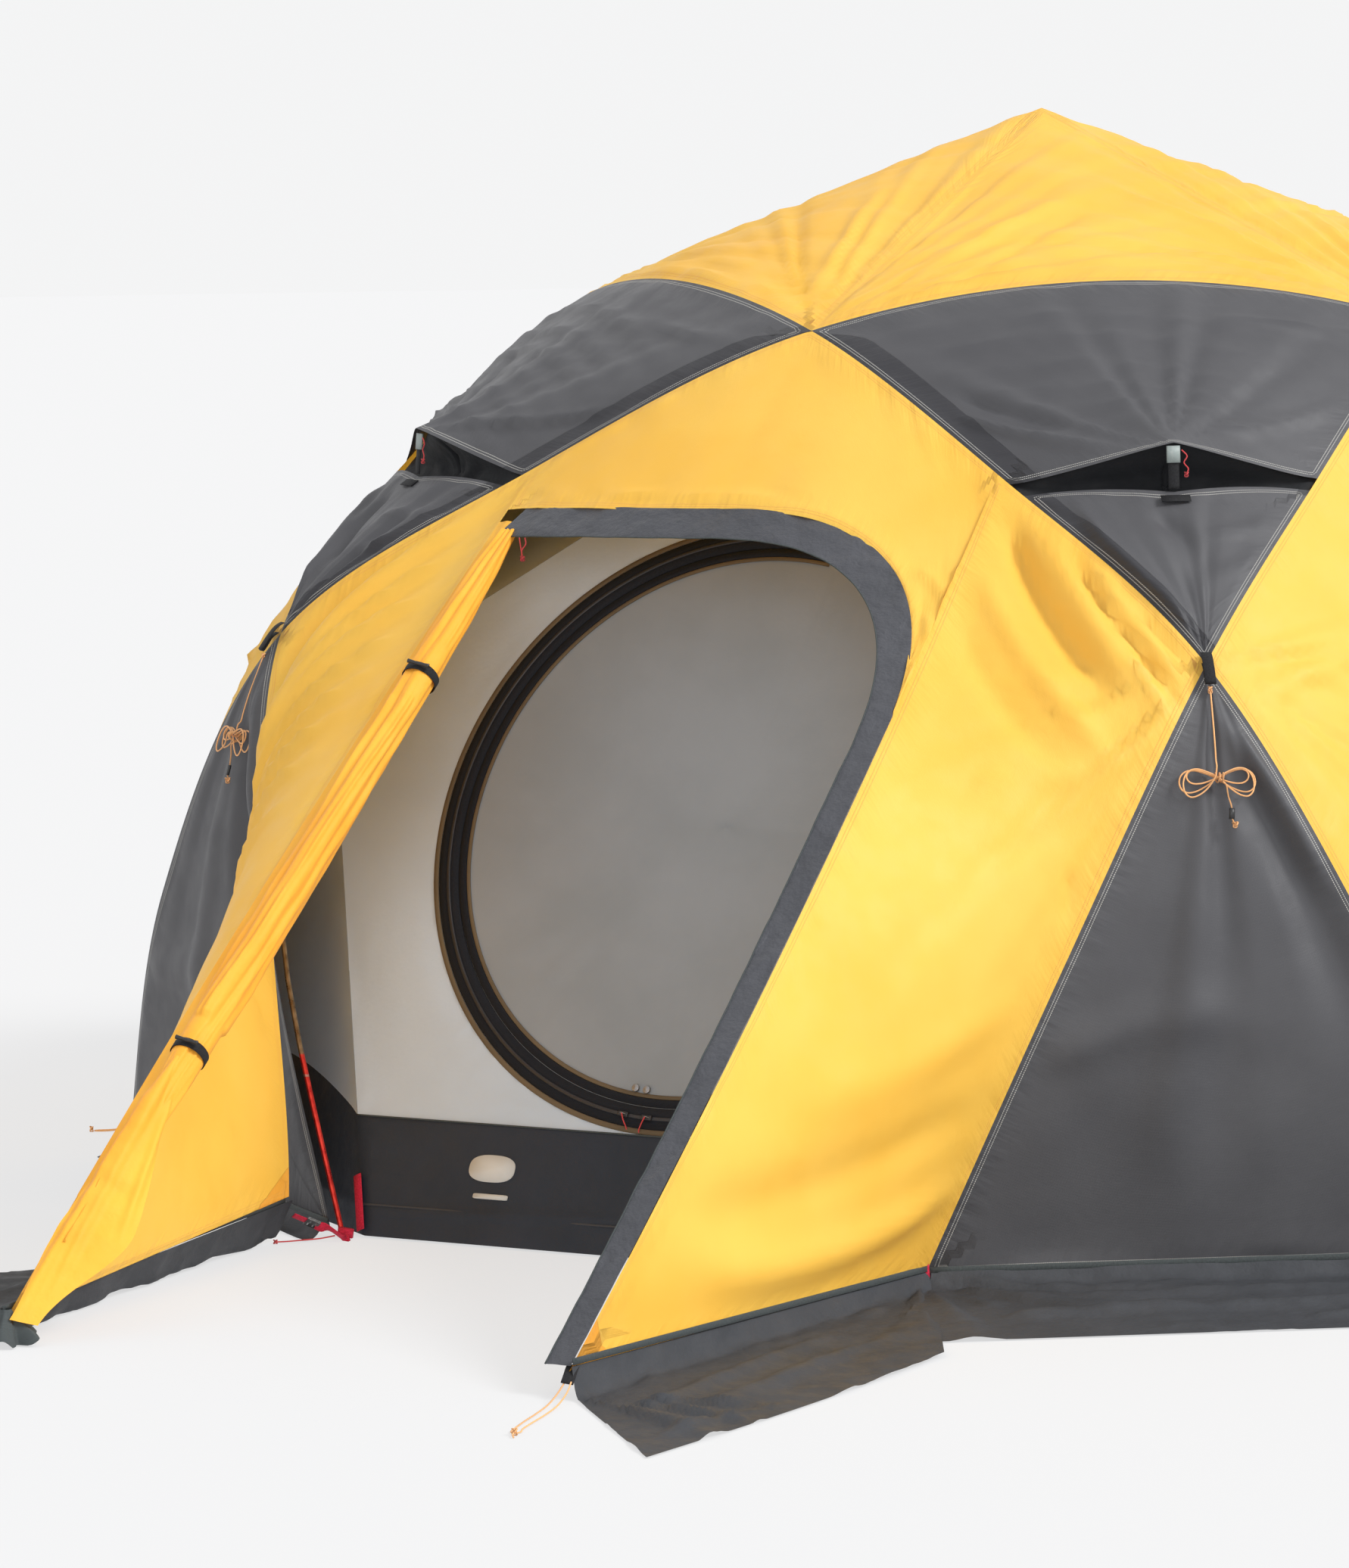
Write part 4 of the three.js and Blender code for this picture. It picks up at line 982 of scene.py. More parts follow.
def patches(side):
    """Orange patches at a lower corner of each of the vestibule's sides."""
    if side > 0:
        return {"b": lambda run: np.maximum(0.12 - run * 1.1, 0.0)}
    return {"b": lambda run: np.maximum(run - 1.0, 0.0)}


def make_beak_sides(sheets):
    us = (SLOPE_T[SLOPE_T >= BEAK_SEAM] - BEAK_SEAM) / (1 - BEAK_SEAM)
    for side in (1, -1):
        place = (lambda p: p) if side > 0 else mirrored

        def leg(t):
            point = place(leg_down(0)(t))
            if side < 0:
                pull = np.maximum(0, 1 - point[..., 2] / CORNER_REACH) ** 1.5
                point = point + (FLY_CORNER - mirrored(foot_node(0, 1))) * pull[..., None]
            return point

        top = lambda t: place(fall_edge(0)(BEAK_SEAM + t * (1 - BEAK_SEAM)))
        front = beak_side(side)
        wall = Panel(stretched(top, line(front(1.0), leg(1.0)), front, leg), us, LEG_T, (0, -2.0, 0.2))
        wall.billow(0.40, 0.009, 180 + side)
        if side > 0:
            for fold in RIGHT_WALL_FOLDS:
                wall.ridge(*fold)
            wall.swath((0.12, 0.03), (0.78, 0.14), (0.075, -0.003), 6, 0.010, 0.007, -0.02, 190)
            wall.rays((1, 0), (0.4, 0.35), 42, 11, 0.010, 0.22, 183)
            wall.gather("l", 0.040, 0.005, 0.050, 184)
            wall.gather("r", 0.045, 0.005, 0.05, 185)
            wall.gather("t", 0.070, 0.004, 0.05, 188)
        else:
            belly = np.sin(math.pi * wall.u**0.9) * smooth(wall.v, 0.05, 0.55) * smooth(wall.v, 0.98, 0.62)
            wall.offset += 0.062 * belly
            wall.swath((0.10, 0.02), (0.90, 0.26), (0.02, 0.055), 8, 0.022, 0.020, 0.03, 186)
            wall.swath((0.22, 0.00), (0.97, 0.12), (0.06, 0.01), 4, 0.016, -0.012, 0.02, 189)
            wall.gather("l", 0.05, 0.010, 0.05, 187)
        wall.add_to(sheets, YELLOW, 51 + side, "lrtb", patches(side))


def make_fly():
    sheets = Sheets()
    for part in (make_roof, make_vents, make_sides, make_corners, make_brow, make_beak_sides):
        part(sheets)
    fly = link("fly", sheets.mesh("fly", 0.0006), ["yellow", "grey"])
    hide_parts("roof_cap", "front_brow", "front_side_right", "front_side_left",
                *[f"{name}_{i + 1}" for name in ("vent_hood", "vent_sill", "corner_panel") for i in range(SIDES)],
                *[f"side_panel_{i}" for i in range(1, SIDES)])


def front_at(x, height):
    return front_face(u_at(x, height), height)


def make_door_band():
    def surface(s, v):
        x, height = arch_edge(s, v * DOOR_BAND)
        return front_at(x + 0.030 * (1 - v) * np.clip(1 - s / 0.03, 0, 1), height)

    band = Panel(surface, np.linspace(0, 1, 321), np.linspace(-0.06, 1.0, 9), BEAK_INSIDE, "")
    band.gather("t", 0.026, 0.0035, 0.030, 301)
    band.gather("b", 0.060, 0.0035, 0.030, 302)
    band.offset += 0.0022 + 0.0035 * np.abs(layered(band.run["t"] / 0.09 + 5, band.v * 1.5, 303))
    cloth_piece("door_band", band.add_to(Sheets(), 0, 60, "tb"), "band")
    tube("door_band_piping", band.displaced(0.0004)[-1][4:], 0.0016, "tape", 6)
    for spot, angle in ((0.24, 0.6), (0.30, -0.3)):
        start = front_at(*arch_edge(spot * 0.1, 0.050)) + np.array([0.0, -0.004, 0.0])
        pull_cord(f"band_pull_{spot:.2f}".replace(".", "_"), start,
                  [(0.004, -0.004, -0.012), (0.012 * angle, -0.006, -0.024), (0.016 * angle, -0.004, -0.040)])


# ---------------------------------------------------------------- cords
CORD_RADIUS = 0.0015
GUYLINE_ROUTE = [[40, 36], [62, 46], [85, 56], [108, 66], [131, 75], [154, 83], [172, 89]]
HANK_LEAN = 17.0
HANK_LOOPS = ((0.071, 0.021, 0.10), (0.058, 0.013, -0.05), (0.066, 0.026, 0.22))
HANK_TAIL = ((0.014, -0.016, 0.006), (0.017, -0.036, 0.003), (0.022, -0.056, 0.002), (0.021, -0.074, 0.001),
             (0.027, -0.088, 0.0))
GUYLINE_LOOP = ((0.002, 0.022), (0.012, 0.012), (0.022, -0.008), (0.030, -0.030), (0.0335, -0.042),
                (0.0300, -0.0435), (0.0245, -0.030), (0.018, -0.012), (0.008, 0.000))
VENT_PULL_STEPS = ((0.010, 0.012), (0.004, 0.024), (0.012, 0.036), (0.008, 0.046))
LOOP_PATH = [[12, 14, 30], [20, 42, 18], [30, 90, 6], [42, 150, 2.2], [56, 215, 2.2],
             [70, 275, 2.2], [80, 300, 2.2], [76, 312, 2.2], [66, 306, 2.2], [54, 270, 2.2],
             [38, 210, 2.2], [24, 150, 2.2], [12, 90, 6], [4, 42, 18], [0, 14, 30]]


def knot(name, place, material="cord", size=0.0019, radius=CORD_RADIUS, body="root", lean=0.0):
    """Overhand knot, pulled tight."""
    t = np.linspace(0, 2 * math.pi, 41)
    x, y, z = np.sin(t) + 2 * np.sin(2 * t), np.cos(t) - 2 * np.cos(2 * t), -1.3 * np.sin(3 * t)
    turned = np.stack([x * math.cos(lean) + z * math.sin(lean),
                       z * math.cos(lean) - x * math.sin(lean), y], 1)
    return tube(name, np.asarray(place) + turned * size, radius, material, 8, body)


def make_guyline(name, side):
    azimuth, lean = side * STEP / 2, math.radians(HANK_LEAN)
    route = [polar(azimuth, MID_RADIUS + out / 1000, MID_HEIGHT - drop / 1000) for drop, out in GUYLINE_ROUTE]
    up = polar(azimuth, -math.sin(lean), math.cos(lean))
    out = polar(azimuth, math.cos(lean), math.sin(lean))
    across = polar(azimuth + 90, 1.0, 0.0)
    centre = route[-1] - up * 0.0315 + out * 0.006

    def at(x, y, z):
        return centre + across * x + up * y + out * z

    run = route + [at(0.0, 0.024, -0.002)]
    for turn, (wide, tall, drop) in enumerate(HANK_LOOPS):
        for a in np.linspace(0.0, 2 * math.pi, 21)[:-1]:
            x = wide * math.sin(a)
            run.append(at(x, tall * math.sin(2 * a) - drop * abs(x),
                          -0.0075 + 0.0062 * turn + 0.0018 * math.cos(a)))
    for a in np.linspace(0.3, 5.2 * math.pi, 27):
        run.append(at(-0.0055 + 0.0042 * a / math.pi / 1.2, 0.0085 * math.sin(a), 0.0125 * math.cos(a)))
    run += [at(*place) for place in HANK_TAIL]
    path = through(run, 520)
    cord = tube(name, path, CORD_RADIUS, "cord", 8)
    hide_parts(f"{name}_hank")
    lock = ribbon(f"{name}_tensioner", [at(0.0225, -0.058, 0.002), at(0.0222, -0.066, 0.0015),
                                        at(0.021, -0.078, 0.001)], out, 0.010, 0.0055, "black")
    pieces = [lock, knot(f"{name}_end_knot", path[-1], size=0.0020),
              knot(f"{name}_top_knot", route[0] - up * 0.004, size=0.0024, lean=1.1)]
    mid = polar(azimuth, MID_RADIUS, MID_HEIGHT)
    loop = through([mid + out * a + up * b for a, b in GUYLINE_LOOP], 24)
    ribbon(f"{name}_loop", loop, np.cross(across, np.gradient(loop, axis=0)) * -1, 0.021, 0.0014, "black_web")


def make_stake_loop(name, side):
    points = [(side * (BEAK_FOOT[0] + x / 1000), BEAK_FOOT[1] - y / 1000, z / 1000) for x, y, z in LOOP_PATH]
    path = through(points, 150)
    cord = tube(name, path, CORD_RADIUS, "cord", 8)
    end = np.array([side * (BEAK_FOOT[0] + 0.080), BEAK_FOOT[1] - 0.318, 0.0065])
    tail = through([end, end + (side * 0.003, -0.012, -0.003), end + (side * 0.012, -0.024, -0.0045)], 12)
    pieces = [knot(f"{name}_knot", end, size=0.0022, lean=0.5),
              tube(f"{name}_tail", tail, CORD_RADIUS, "cord", 8)]
    tab = [np.array([side * (BEAK_FOOT[0] + x), BEAK_FOOT[1] - y, z]) for x, y, z in
           [(-0.004, -0.022, 0.052), (0.000, -0.008, 0.046), (0.004, 0.006, 0.038), (0.007, 0.020, 0.028)]]
    ribbon(f"{name}_tab", through(tab, 12), (side * 0.35, -0.7, 0.6), 0.022, 0.0016, "black_web")


def make_base_loop():
    """Stake cord at the left of the dome, with its knot."""
    out, across = polar(-63.7, 1.0, 0.0), polar(26.3, 1.0, 0.0)

    def at(away, aside, height):
        return out * (1.858 + away) + across * aside + np.array([0, 0, height])

    leg = [(0.020, 0.004, 0.019), (0.054, 0.004, 0.015), (0.090, 0.005, 0.009), (0.130, 0.006, 0.0035),
           (0.163, 0.005, 0.0022)]
    path = through([at(a, -b, c) for a, b, c in leg] + [at(0.170, 0.0, 0.0022)]
                   + [at(*place) for place in leg[::-1]], 90)
    cord = tube("stake_loop_base", path, CORD_RADIUS, "cord", 8)
    knot("stake_loop_base_knot", at(0.176, 0.0, 0.006), size=0.0022, lean=0.9)


def pull_cord(name, start, steps, body="root", radius=0.0013):
    """Short pull: a cord down to a knot at its end."""
    path = through([start] + [start + np.array(s) for s in steps], 40)
    cord = tube(name, path, radius, "red_cord", 7, body)
    pieces = [knot(f"{name}_knot", path[-1], "red_cord", 0.0017, radius, body, 0.4)]


# ---------------------------------------------------------------- rolled door
def roll_line(t):
    height = 1.298 + (0.150 - 1.298) * t
    return front_at(front_face(0.0, height)[0] + ROLL_OFFSET + 0.003, height)


def make_rolled_door():
    top, foot = roll_line(0.0), roll_line(1.0)
    along = unit(foot - top)
    out = np.array([0.25, -0.75, 0.6])
    facing = unit(out - along * (out @ along))
    aside = np.cross(along, facing)
    t = np.linspace(-0.035, 1.0, 261)
    tt, aa = np.meshgrid(t, np.linspace(0, 2 * math.pi, 72, endpoint=False), indexing="ij")
    size = np.interp(t, *ROLL_SIZES)[:, None]
    squeeze = np.max([np.exp(-(((tt - place) / 0.05) ** 2)) for place in TIE_PLACES], axis=0)
    # The seam of the roll winds slowly round it, as do the folds beside it.
    wind = aa + 1.3 * tt + 0.25 * layered(tt * 5, tt * 0 + 1, 401)
    fold = 0.0042 * np.sin(3 * wind + 0.7) + 0.0026 * np.sin(7 * wind + 2.0 * tt)
    fold += 0.0040 * noise2(wind * 2.2, tt * 7, 402) * (0.5 + 0.5 * np.cos(aa))
    fold += 0.002 * noise2(wind * 5, tt * 22, 403) + 0.0030 * squeeze * noise2(wind * 6, tt * 3, 404)
    lip = 0.010 * np.exp(-(((wind - 2.4 + math.pi) % (2 * math.pi) - math.pi) / 0.10) ** 2)
    lip *= smooth(tt, 0.05, 0.2) * (1 - 0.8 * squeeze)
    radius = np.clip(size + fold * (1 - 0.35 * squeeze) + lip, 0.004, 0.045)
    radius = np.where(squeeze > 0.55, np.minimum(radius, 0.0325), radius)[..., None]
    spine = top + (foot - top) * tt[..., None]
    rings = spine + radius * (np.cos(aa)[..., None] * aside + np.sin(aa)[..., None] * facing)
    shell("rolled_door", capped(rings), "roll")
    make_door_tail(facing)
    make_door_root()
    make_foot_gather()
    for number, place in enumerate(TIE_PLACES, 1):
        make_door_tie(number, top + (foot - top) * place, along, facing, aside)


def make_door_tie(number, centre, along, facing, aside):
    turn = np.linspace(-1.05 * math.pi, 1.05 * math.pi, 61)
    face = np.sin(turn)[:, None] * aside + np.cos(turn)[:, None] * facing
    ring = centre + 0.0342 * face + facing * 0.003 * smooth(np.abs(turn), math.pi * 0.8, math.pi)[:, None]
    ribbon(f"door_tie_{number}", ring, face, 0.020, 0.0016, "black_web")
    across = unit(np.cross(along, facing))
    length = np.linspace(-0.022, 0.022, 23)
    shape = 0.0030 + 0.0013 * np.abs(length / 0.022) ** 2
    shape[9:14] = 0.0036
    tube(f"door_toggle_{number}", centre + facing * 0.0405 + length[:, None] * across, shape, "black", 14,
         f"door_toggle_{'upper' if number == 1 else 'lower'}")


def make_door_root():
    """Cloth between the left wall's front edge and the rolled door."""
    top, foot = roll_line(0.0), roll_line(1.0)

    def surface(u, v):
        middle = top + (foot - top) * v[..., None]
        edge = front_face(0 * u, middle[..., 2])
        return edge + (middle - edge) * u[..., None]

    root = Panel(surface, np.linspace(-0.02, 0.92, 13), np.linspace(-0.05, 0.93, 161), BEAK_INSIDE, "l")
    root.gather("l", 0.060, 0.004, 0.030, 405)
    root.offset += 0.004 * np.sin(math.pi * np.clip(root.u, 0, 1))
    cloth_piece("door_root", root.add_to(Sheets(), 0, 62, "l"), "roll")


def make_foot_gather():
    """Dark cloth drawn together round the left foot of the door."""
    foot = mirrored(BEAK_FOOT) * FLAT
    share, turn = np.meshgrid(np.linspace(0, 1, 22), np.linspace(0, 2 * math.pi, 97), indexing="ij")
    fold = 1 + 0.22 * np.sin(5 * turn + 0.8) + 0.12 * np.sin(9 * turn + 2.0 * share)
    radius = (0.010 + 0.044 * share**1.3) * (1 + (fold - 1) * share)
    height = 0.060 * (1 - share) ** 0.8 + 0.003 + 0.012 * share * np.clip(np.sin(5 * turn + 0.8), 0, 1)
    points = foot + np.stack([radius * np.cos(turn), radius * np.sin(turn), height], -1)
    cloth_piece("foot_gather", Sheets().add(points), "tape")


def make_door_tail(facing):
    """Loose end of the rolled door, which opens out below its lower tie down to the foot."""
    start, end = roll_line(0.756), mirrored(BEAK_FOOT) + np.array([0.022, -0.002, -0.012])

    def surface(u, v):
        width = 0.034 + 0.115 * smooth(v, 0.0, 0.75) - 0.095 * smooth(v, 0.62, 1.0)
        point = start + (end - start) * v[..., None]
        point = point + np.array([0.83, 0.42, -0.18]) * ((u - 0.18) * width)[..., None]
        return point + facing * (0.024 * (1 - v) * (1 - (2 * u - 1) ** 2) + 0.016)[..., None]

    tail = Panel(surface, np.linspace(0, 1, 41), np.linspace(0, 1, 121), BEAK_INSIDE, "")
    tail.ridge((0.25, 0), (0.12, 1), 0.010, 0.010)
    tail.ridge((0.45, 0), (0.42, 0.95), 0.011, 0.009)
    tail.ridge((0.60, 0), (0.70, 0.9), 0.012, 0.011)
    tail.ridge((0.8, 0), (0.95, 0.7), 0.010, 0.008)
    tail.offset += 0.004 * noise2(tail.x * 30, tail.y * 9, 411)
    cloth_piece("door_tail", tail.add_to(Sheets(), 0, 61, "lr"), "roll")


# ---------------------------------------------------------------- snow flaps
FLAP_CUT, TUCKED_CUT, FLAP_TOUCH, LYING_HEIGHT = 0.540, 0.060, 0.045, 0.0026


def flap_panel(hem, outer, us, rows, seed, wrinkle):
    """Cloth that drops from a hem line to the ground and lies on it out to an outer line."""
    def surface(u, v):
        root = hem(u)
        reach = (outer(u) - root) * FLAT
        drop = np.clip(1 - v * np.linalg.norm(reach, axis=-1) / FLAP_TOUCH, 0, 1) ** 1.7
        point = root * FLAT + reach * v[..., None]
        point[..., 2] = LYING_HEIGHT + (root[..., 2] - LYING_HEIGHT) * drop
        return point

    flap = Panel(surface, us, rows, (0, 0, -3.0), "t")
    flap.billow(0.16, wrinkle * 0.5, seed)
    flap.billow(0.055, wrinkle * 0.20, seed + 1)
    flap.offset += wrinkle * 0.60 * (0.35 - np.abs(layered(flap.x / 0.13, flap.y / 0.13, seed + 3)))
    flap.gather("t", 0.06, wrinkle * 0.55, 0.09, seed + 2)
    return flap


def finish_flap(flap, name):
    """Keeps a flap's folds above the ground and links it."""
    lying = smooth(flap.gap["t"], 0.03, 0.08)
    flap.offset = flap.offset * (1 - lying) + lying * np.clip(flap.offset + 0.0008, 0, None)
    flap.offset = np.maximum(flap.offset, 0.0018 - flap.points[..., 2])
    cloth_piece(name, flap.add_to(Sheets(), 0, 70, "tb"), "flap")


def broken_line(points):
    """Runs through corners at equal steps of its parameter."""
    points = np.array(points)

    def at(t):
        t = np.clip(np.asarray(t, float), 0, 1) * (len(points) - 1)
        k = np.minimum(t.astype(int), len(points) - 2)
        return points[k] + (points[k + 1] - points[k]) * (t - k)[..., None]

    return at


def hem_corner(n):
    """Corner n of the fly's hem, counted round from the right of the door."""
    i = (n + 1) // 2
    corner = far_leg_down(i - 1)(1.0) if n % 2 else leg_down(i % SIDES)(1.0)
    return corner * (1 + 0.0040 / np.linalg.norm(corner[:2])) + np.array([0.0, 0.0, 0.011])


def make_snow_flaps():
    angles = [STEP * math.ceil(n / 2) + (-FOOT_ANGLE if n % 2 else FOOT_ANGLE) for n in range(10)]
    spread_rows = np.concatenate([np.linspace(0, 0.12, 8), np.linspace(0.14, 1, 34)])
    for n, (label, cut, rows, wrinkle) in enumerate((("right", FLAP_CUT, spread_rows, 0.016),
                                                     ("back", FLAP_CUT, spread_rows, 0.016),
                                                     ("left", TUCKED_CUT, np.linspace(0, 1, 10), 0.004))):
        corners = range(3 * n, 3 * n + 4)
        radius = BASE_RADIUS + cut / math.cos(math.radians(STEP / 4))
        hem = broken_line([hem_corner(k) for k in corners])
        outer = broken_line([polar(angles[k], radius, 0.0) for k in corners])
        flap = flap_panel(hem, outer, np.linspace(0.004, 0.996, 301), rows, 500 + 10 * n, wrinkle)
        if label == "right":
            flap.rays((0.0, 0.0), (0.10, 0.5), 60, 9, 0.012, 0.18, 521)
            flap.ridge((0.02, 0.62), (0.30, 0.52), 0.035, 0.014)
            flap.ridge((0.05, 0.30), (0.36, 0.36), 0.03, 0.010)
            flap.ridge((0.16, 0.85), (0.45, 0.72), 0.03, 0.010)
        finish_flap(flap, f"snow_flap_{label}")
    rows = np.concatenate([np.linspace(0, 0.14, 8), np.linspace(0.17, 1, 30)])
    for side, label in ((1, "right"), (-1, "left")):
        root = (leg_down(0)(1.0) if side > 0 else FLY_CORNER) + np.array([side * 0.004, 0.004, 0.010])
        foot = BEAK_FOOT * np.array([side, 1, 1]) + np.array([side * 0.004, 0, 0.008])
        inner, corner = np.array([side * 0.980, -2.440, 0.0]), np.array([side * 0.944, -3.413, 0.0])
        bow = np.array([side * 0.012, 0, 0])
        outer = lambda t: line(inner, corner)(t) + bow * np.sin(math.pi * t)[..., None]
        flap = flap_panel(line(root, foot), outer, np.linspace(-0.02, 0.998, 91), rows, 560 + side, 0.014)
        flap.rays((0.02, 0.0), (0.2, 0.8), 60, 9, 0.013, 0.16, 561)
        flap.rays((1.0, 0.0), (0.8, 0.8), 45, 7, 0.010, 0.16, 562)
        flap.ridge((0.15, 0.55), (0.80, 0.70), 0.035, 0.012)
        flap.ridge((0.30, 0.28), (0.95, 0.45), 0.028, 0.010)
        flap.ridge((0.55, 0.90), (0.98, 0.80), 0.025, 0.010)
        finish_flap(flap, f"snow_flap_front_{label}")


# ---------------------------------------------------------------- inner tent
def inner_cap(i):
    return polar(STEP * i, INNER_RADIUS * GOLDEN_SIN, INNER_RADIUS * GOLDEN_COS)


def inner_mid(i):
    return polar(STEP * (i + 0.5), INNER_RADIUS * GOLDEN_COS, INNER_RADIUS * GOLDEN_SIN)


def wall_corner(n, height):
    """Corner n of ten at this height: the foot's own edge runs up to a crossing."""
    n = n % 10
    i, side = (n + 1) // 2, (-1 if n % 2 else 1)
    foot = polar(STEP * i + side * INNER_FOOT_ANGLE, INNER_RADIUS, 0.0)
    crossing = inner_mid(i if side > 0 else i - 1)
    share = np.asarray(height, float)[..., None] / crossing[2]
    return foot + (crossing - foot) * share


def tub_top(u, narrow):
    """The tub's upper edge is level on the five wide walls and rises between its corners elsewhere."""
    return TUB_HEIGHT + (0.075 * np.sin(math.pi * u) ** 0.8 if narrow else 0 * u)


def wall_point(n, u, height):
    a, b = wall_corner(n, height), wall_corner(n + 1, height)
    return a + (b - a) * np.asarray(u, float)[..., None]


def make_tub():
    sheets = Sheets()
    for n in range(10):
        surface = lambda u, v: wall_point(n, u, 0.004 + (tub_top(u, n % 2 == 0) - 0.004) * v)
        wall = Panel(surface, np.linspace(0, 1, 41), np.linspace(0, 1, 25), (0, 0, 0.1), "lr")
        wall.billow(0.30, 0.005, 600 + n)
        wall.ridge((0.02, 0.20), (0.55, 0.30), 0.012, 0.005)
        wall.ridge((0.5, 0.26), (0.98, 0.22), 0.010, 0.004)
        wall.offset *= smooth(wall.gap["t"], 0, 0.02) * smooth(wall.gap["b"], 0, 0.02)
        wall.add_to(sheets, 0, 80 + n, "tb")
    ring = np.array([wall_corner(n, 0.004) for n in range(11)])
    sheets.add(np.array([ring * np.array([s, s, 1]) for s in np.linspace(0.02, 1, 12)]), flip=True)
    cloth_piece("floor_tub", sheets, "tub", weld=WELD)
    across = np.linspace(0.0, 1.0, 60)
    wave = 0.0035 * noise1(across * 7, 611)
    for name, height, radius, material in (("tub_seam_low", 0.058 + wave, 0.0022, "piping"),
                                           ("tub_seam_top", TUB_HEIGHT - 0.001 + 0 * wave, 0.0018, "tape")):
        tube(name, wall_point(TUB_FRONT, across, height) + TUB_OUT * 0.0015, radius, material, 8)
    make_mark("tub_mark_disc", 0.050, 0.027, 0.140, 0.75)
    make_mark("tub_mark_bar", 0.038, 0.005, 0.090, 0.25)


def make_mark(name, wide, high, height, power):
    """Plain pale patch on the front of the tub."""
    middle = wall_point(TUB_FRONT, 0.235, height) + TUB_OUT * 0.0042
    turn = np.linspace(0, 2 * math.pi, 64, endpoint=False)[:, None]
    x, z = (np.sign(way) * np.abs(way) ** power for way in (np.cos(turn), np.sin(turn)))
    rim = middle + x * wide * np.array([1.0, 0, 0]) + z * high * TUB_UP
    shell(name, np.array([np.repeat(middle[None], 64, 0), rim, rim - TUB_OUT * 0.0025]), "pale")


def make_canopy():
    sheets = Sheets()
    crown = np.array([0, 0, INNER_RADIUS * GOLDEN_COS + 0.090])

    def patch(top, bottom, left, right, rows, number):
        panel = Panel(stretched(top, bottom, left, right), np.linspace(0, 1, 33), np.linspace(0, 1, rows))
        panel.billow(0.4, 0.006, 640 + number)
        panel.gather("l", 0.07, 0.004, 0.06, 660 + number)
        panel.gather("r", 0.07, 0.004, 0.06, 680 + number)
        panel.add_to(sheets, 0, 90 + number, "lr")

    for i in range(SIDES):
        a, b, m, before = inner_cap(i), inner_cap(i + 1), inner_mid(i), inner_mid(i - 1)
        patch(line(a, b), fixed(crown), line(a, crown), line(b, crown), 24, i)
        patch(line(a, b), fixed(m), line(a, m), line(b, m), 24, 5 + i)
        low = lambda t: wall_point(2 * i, t, tub_top(t, True))
        patch(fixed(m), low, line(m, low(0.0)), line(m, low(1.0)), 30, 10 + i)
        if i:
            hem = lambda t: wall_point(2 * i - 1, t, TUB_HEIGHT)
            patch(broken_line([before, a, m]), hem, line(before, hem(0.0)), line(m, hem(1.0)), 36, 15 + i)
    cloth_piece("inner_canopy", sheets, "wall", weld=WELD)


WALL_TILT = math.radians(WALL_LEAN)
WALL_RIGHT = np.array([1.0, 0.0, 0.0])
WALL_UP = np.array([0.0, math.sin(WALL_TILT), math.cos(WALL_TILT)])
WALL_OUT = np.array([0.0, -math.cos(WALL_TILT), math.sin(WALL_TILT)])
DOOR_CENTRE = np.array([0.0, DOOR_CENTRE_HEIGHT * math.tan(WALL_TILT)
                        - INNER_RADIUS * math.cos(math.radians(INNER_FOOT_ANGLE)), DOOR_CENTRE_HEIGHT])


ZIP_PROFILE = ((0.620, -0.003), (0.620, 0.0008), (0.6045, 0.0014), (0.5925, 0.0014), (0.577, 0.0008),
               (0.577, -0.003))
COIL_PROFILE = ((0.6025, 0.0010), (0.6020, 0.0032), (0.6000, 0.0040), (0.5970, 0.0040), (0.5950, 0.0032),
                (0.5945, 0.0010))
OUTER_TAPE_PROFILE = ((0.6315, 0.0002), (0.6310, 0.0016), (0.6215, 0.0018), (0.6205, 0.0004))
INNER_TAPE_PROFILE = ((0.5755, -0.0010), (0.5755, 0.0010), (0.5600, 0.0016), (0.5590, 0.0002))
INNER_TRIM_PROFILE = ((0.5590, 0.0000), (0.5580, 0.0012), (0.5510, 0.0012), (0.5505, 0.0000))
STUD_PROFILE = ((0.02, 0.0028), (0.45, 0.0027), (0.75, 0.0020), (0.92, 0.0022), (1.0, 0.0012), (1.0, -0.0015))


def on_wall(x, y, z=0.0):
    x, y, z = np.broadcast_arrays(x, y, z)
    return DOOR_CENTRE + x[..., None] * WALL_RIGHT + y[..., None] * WALL_UP + z[..., None] * WALL_OUT


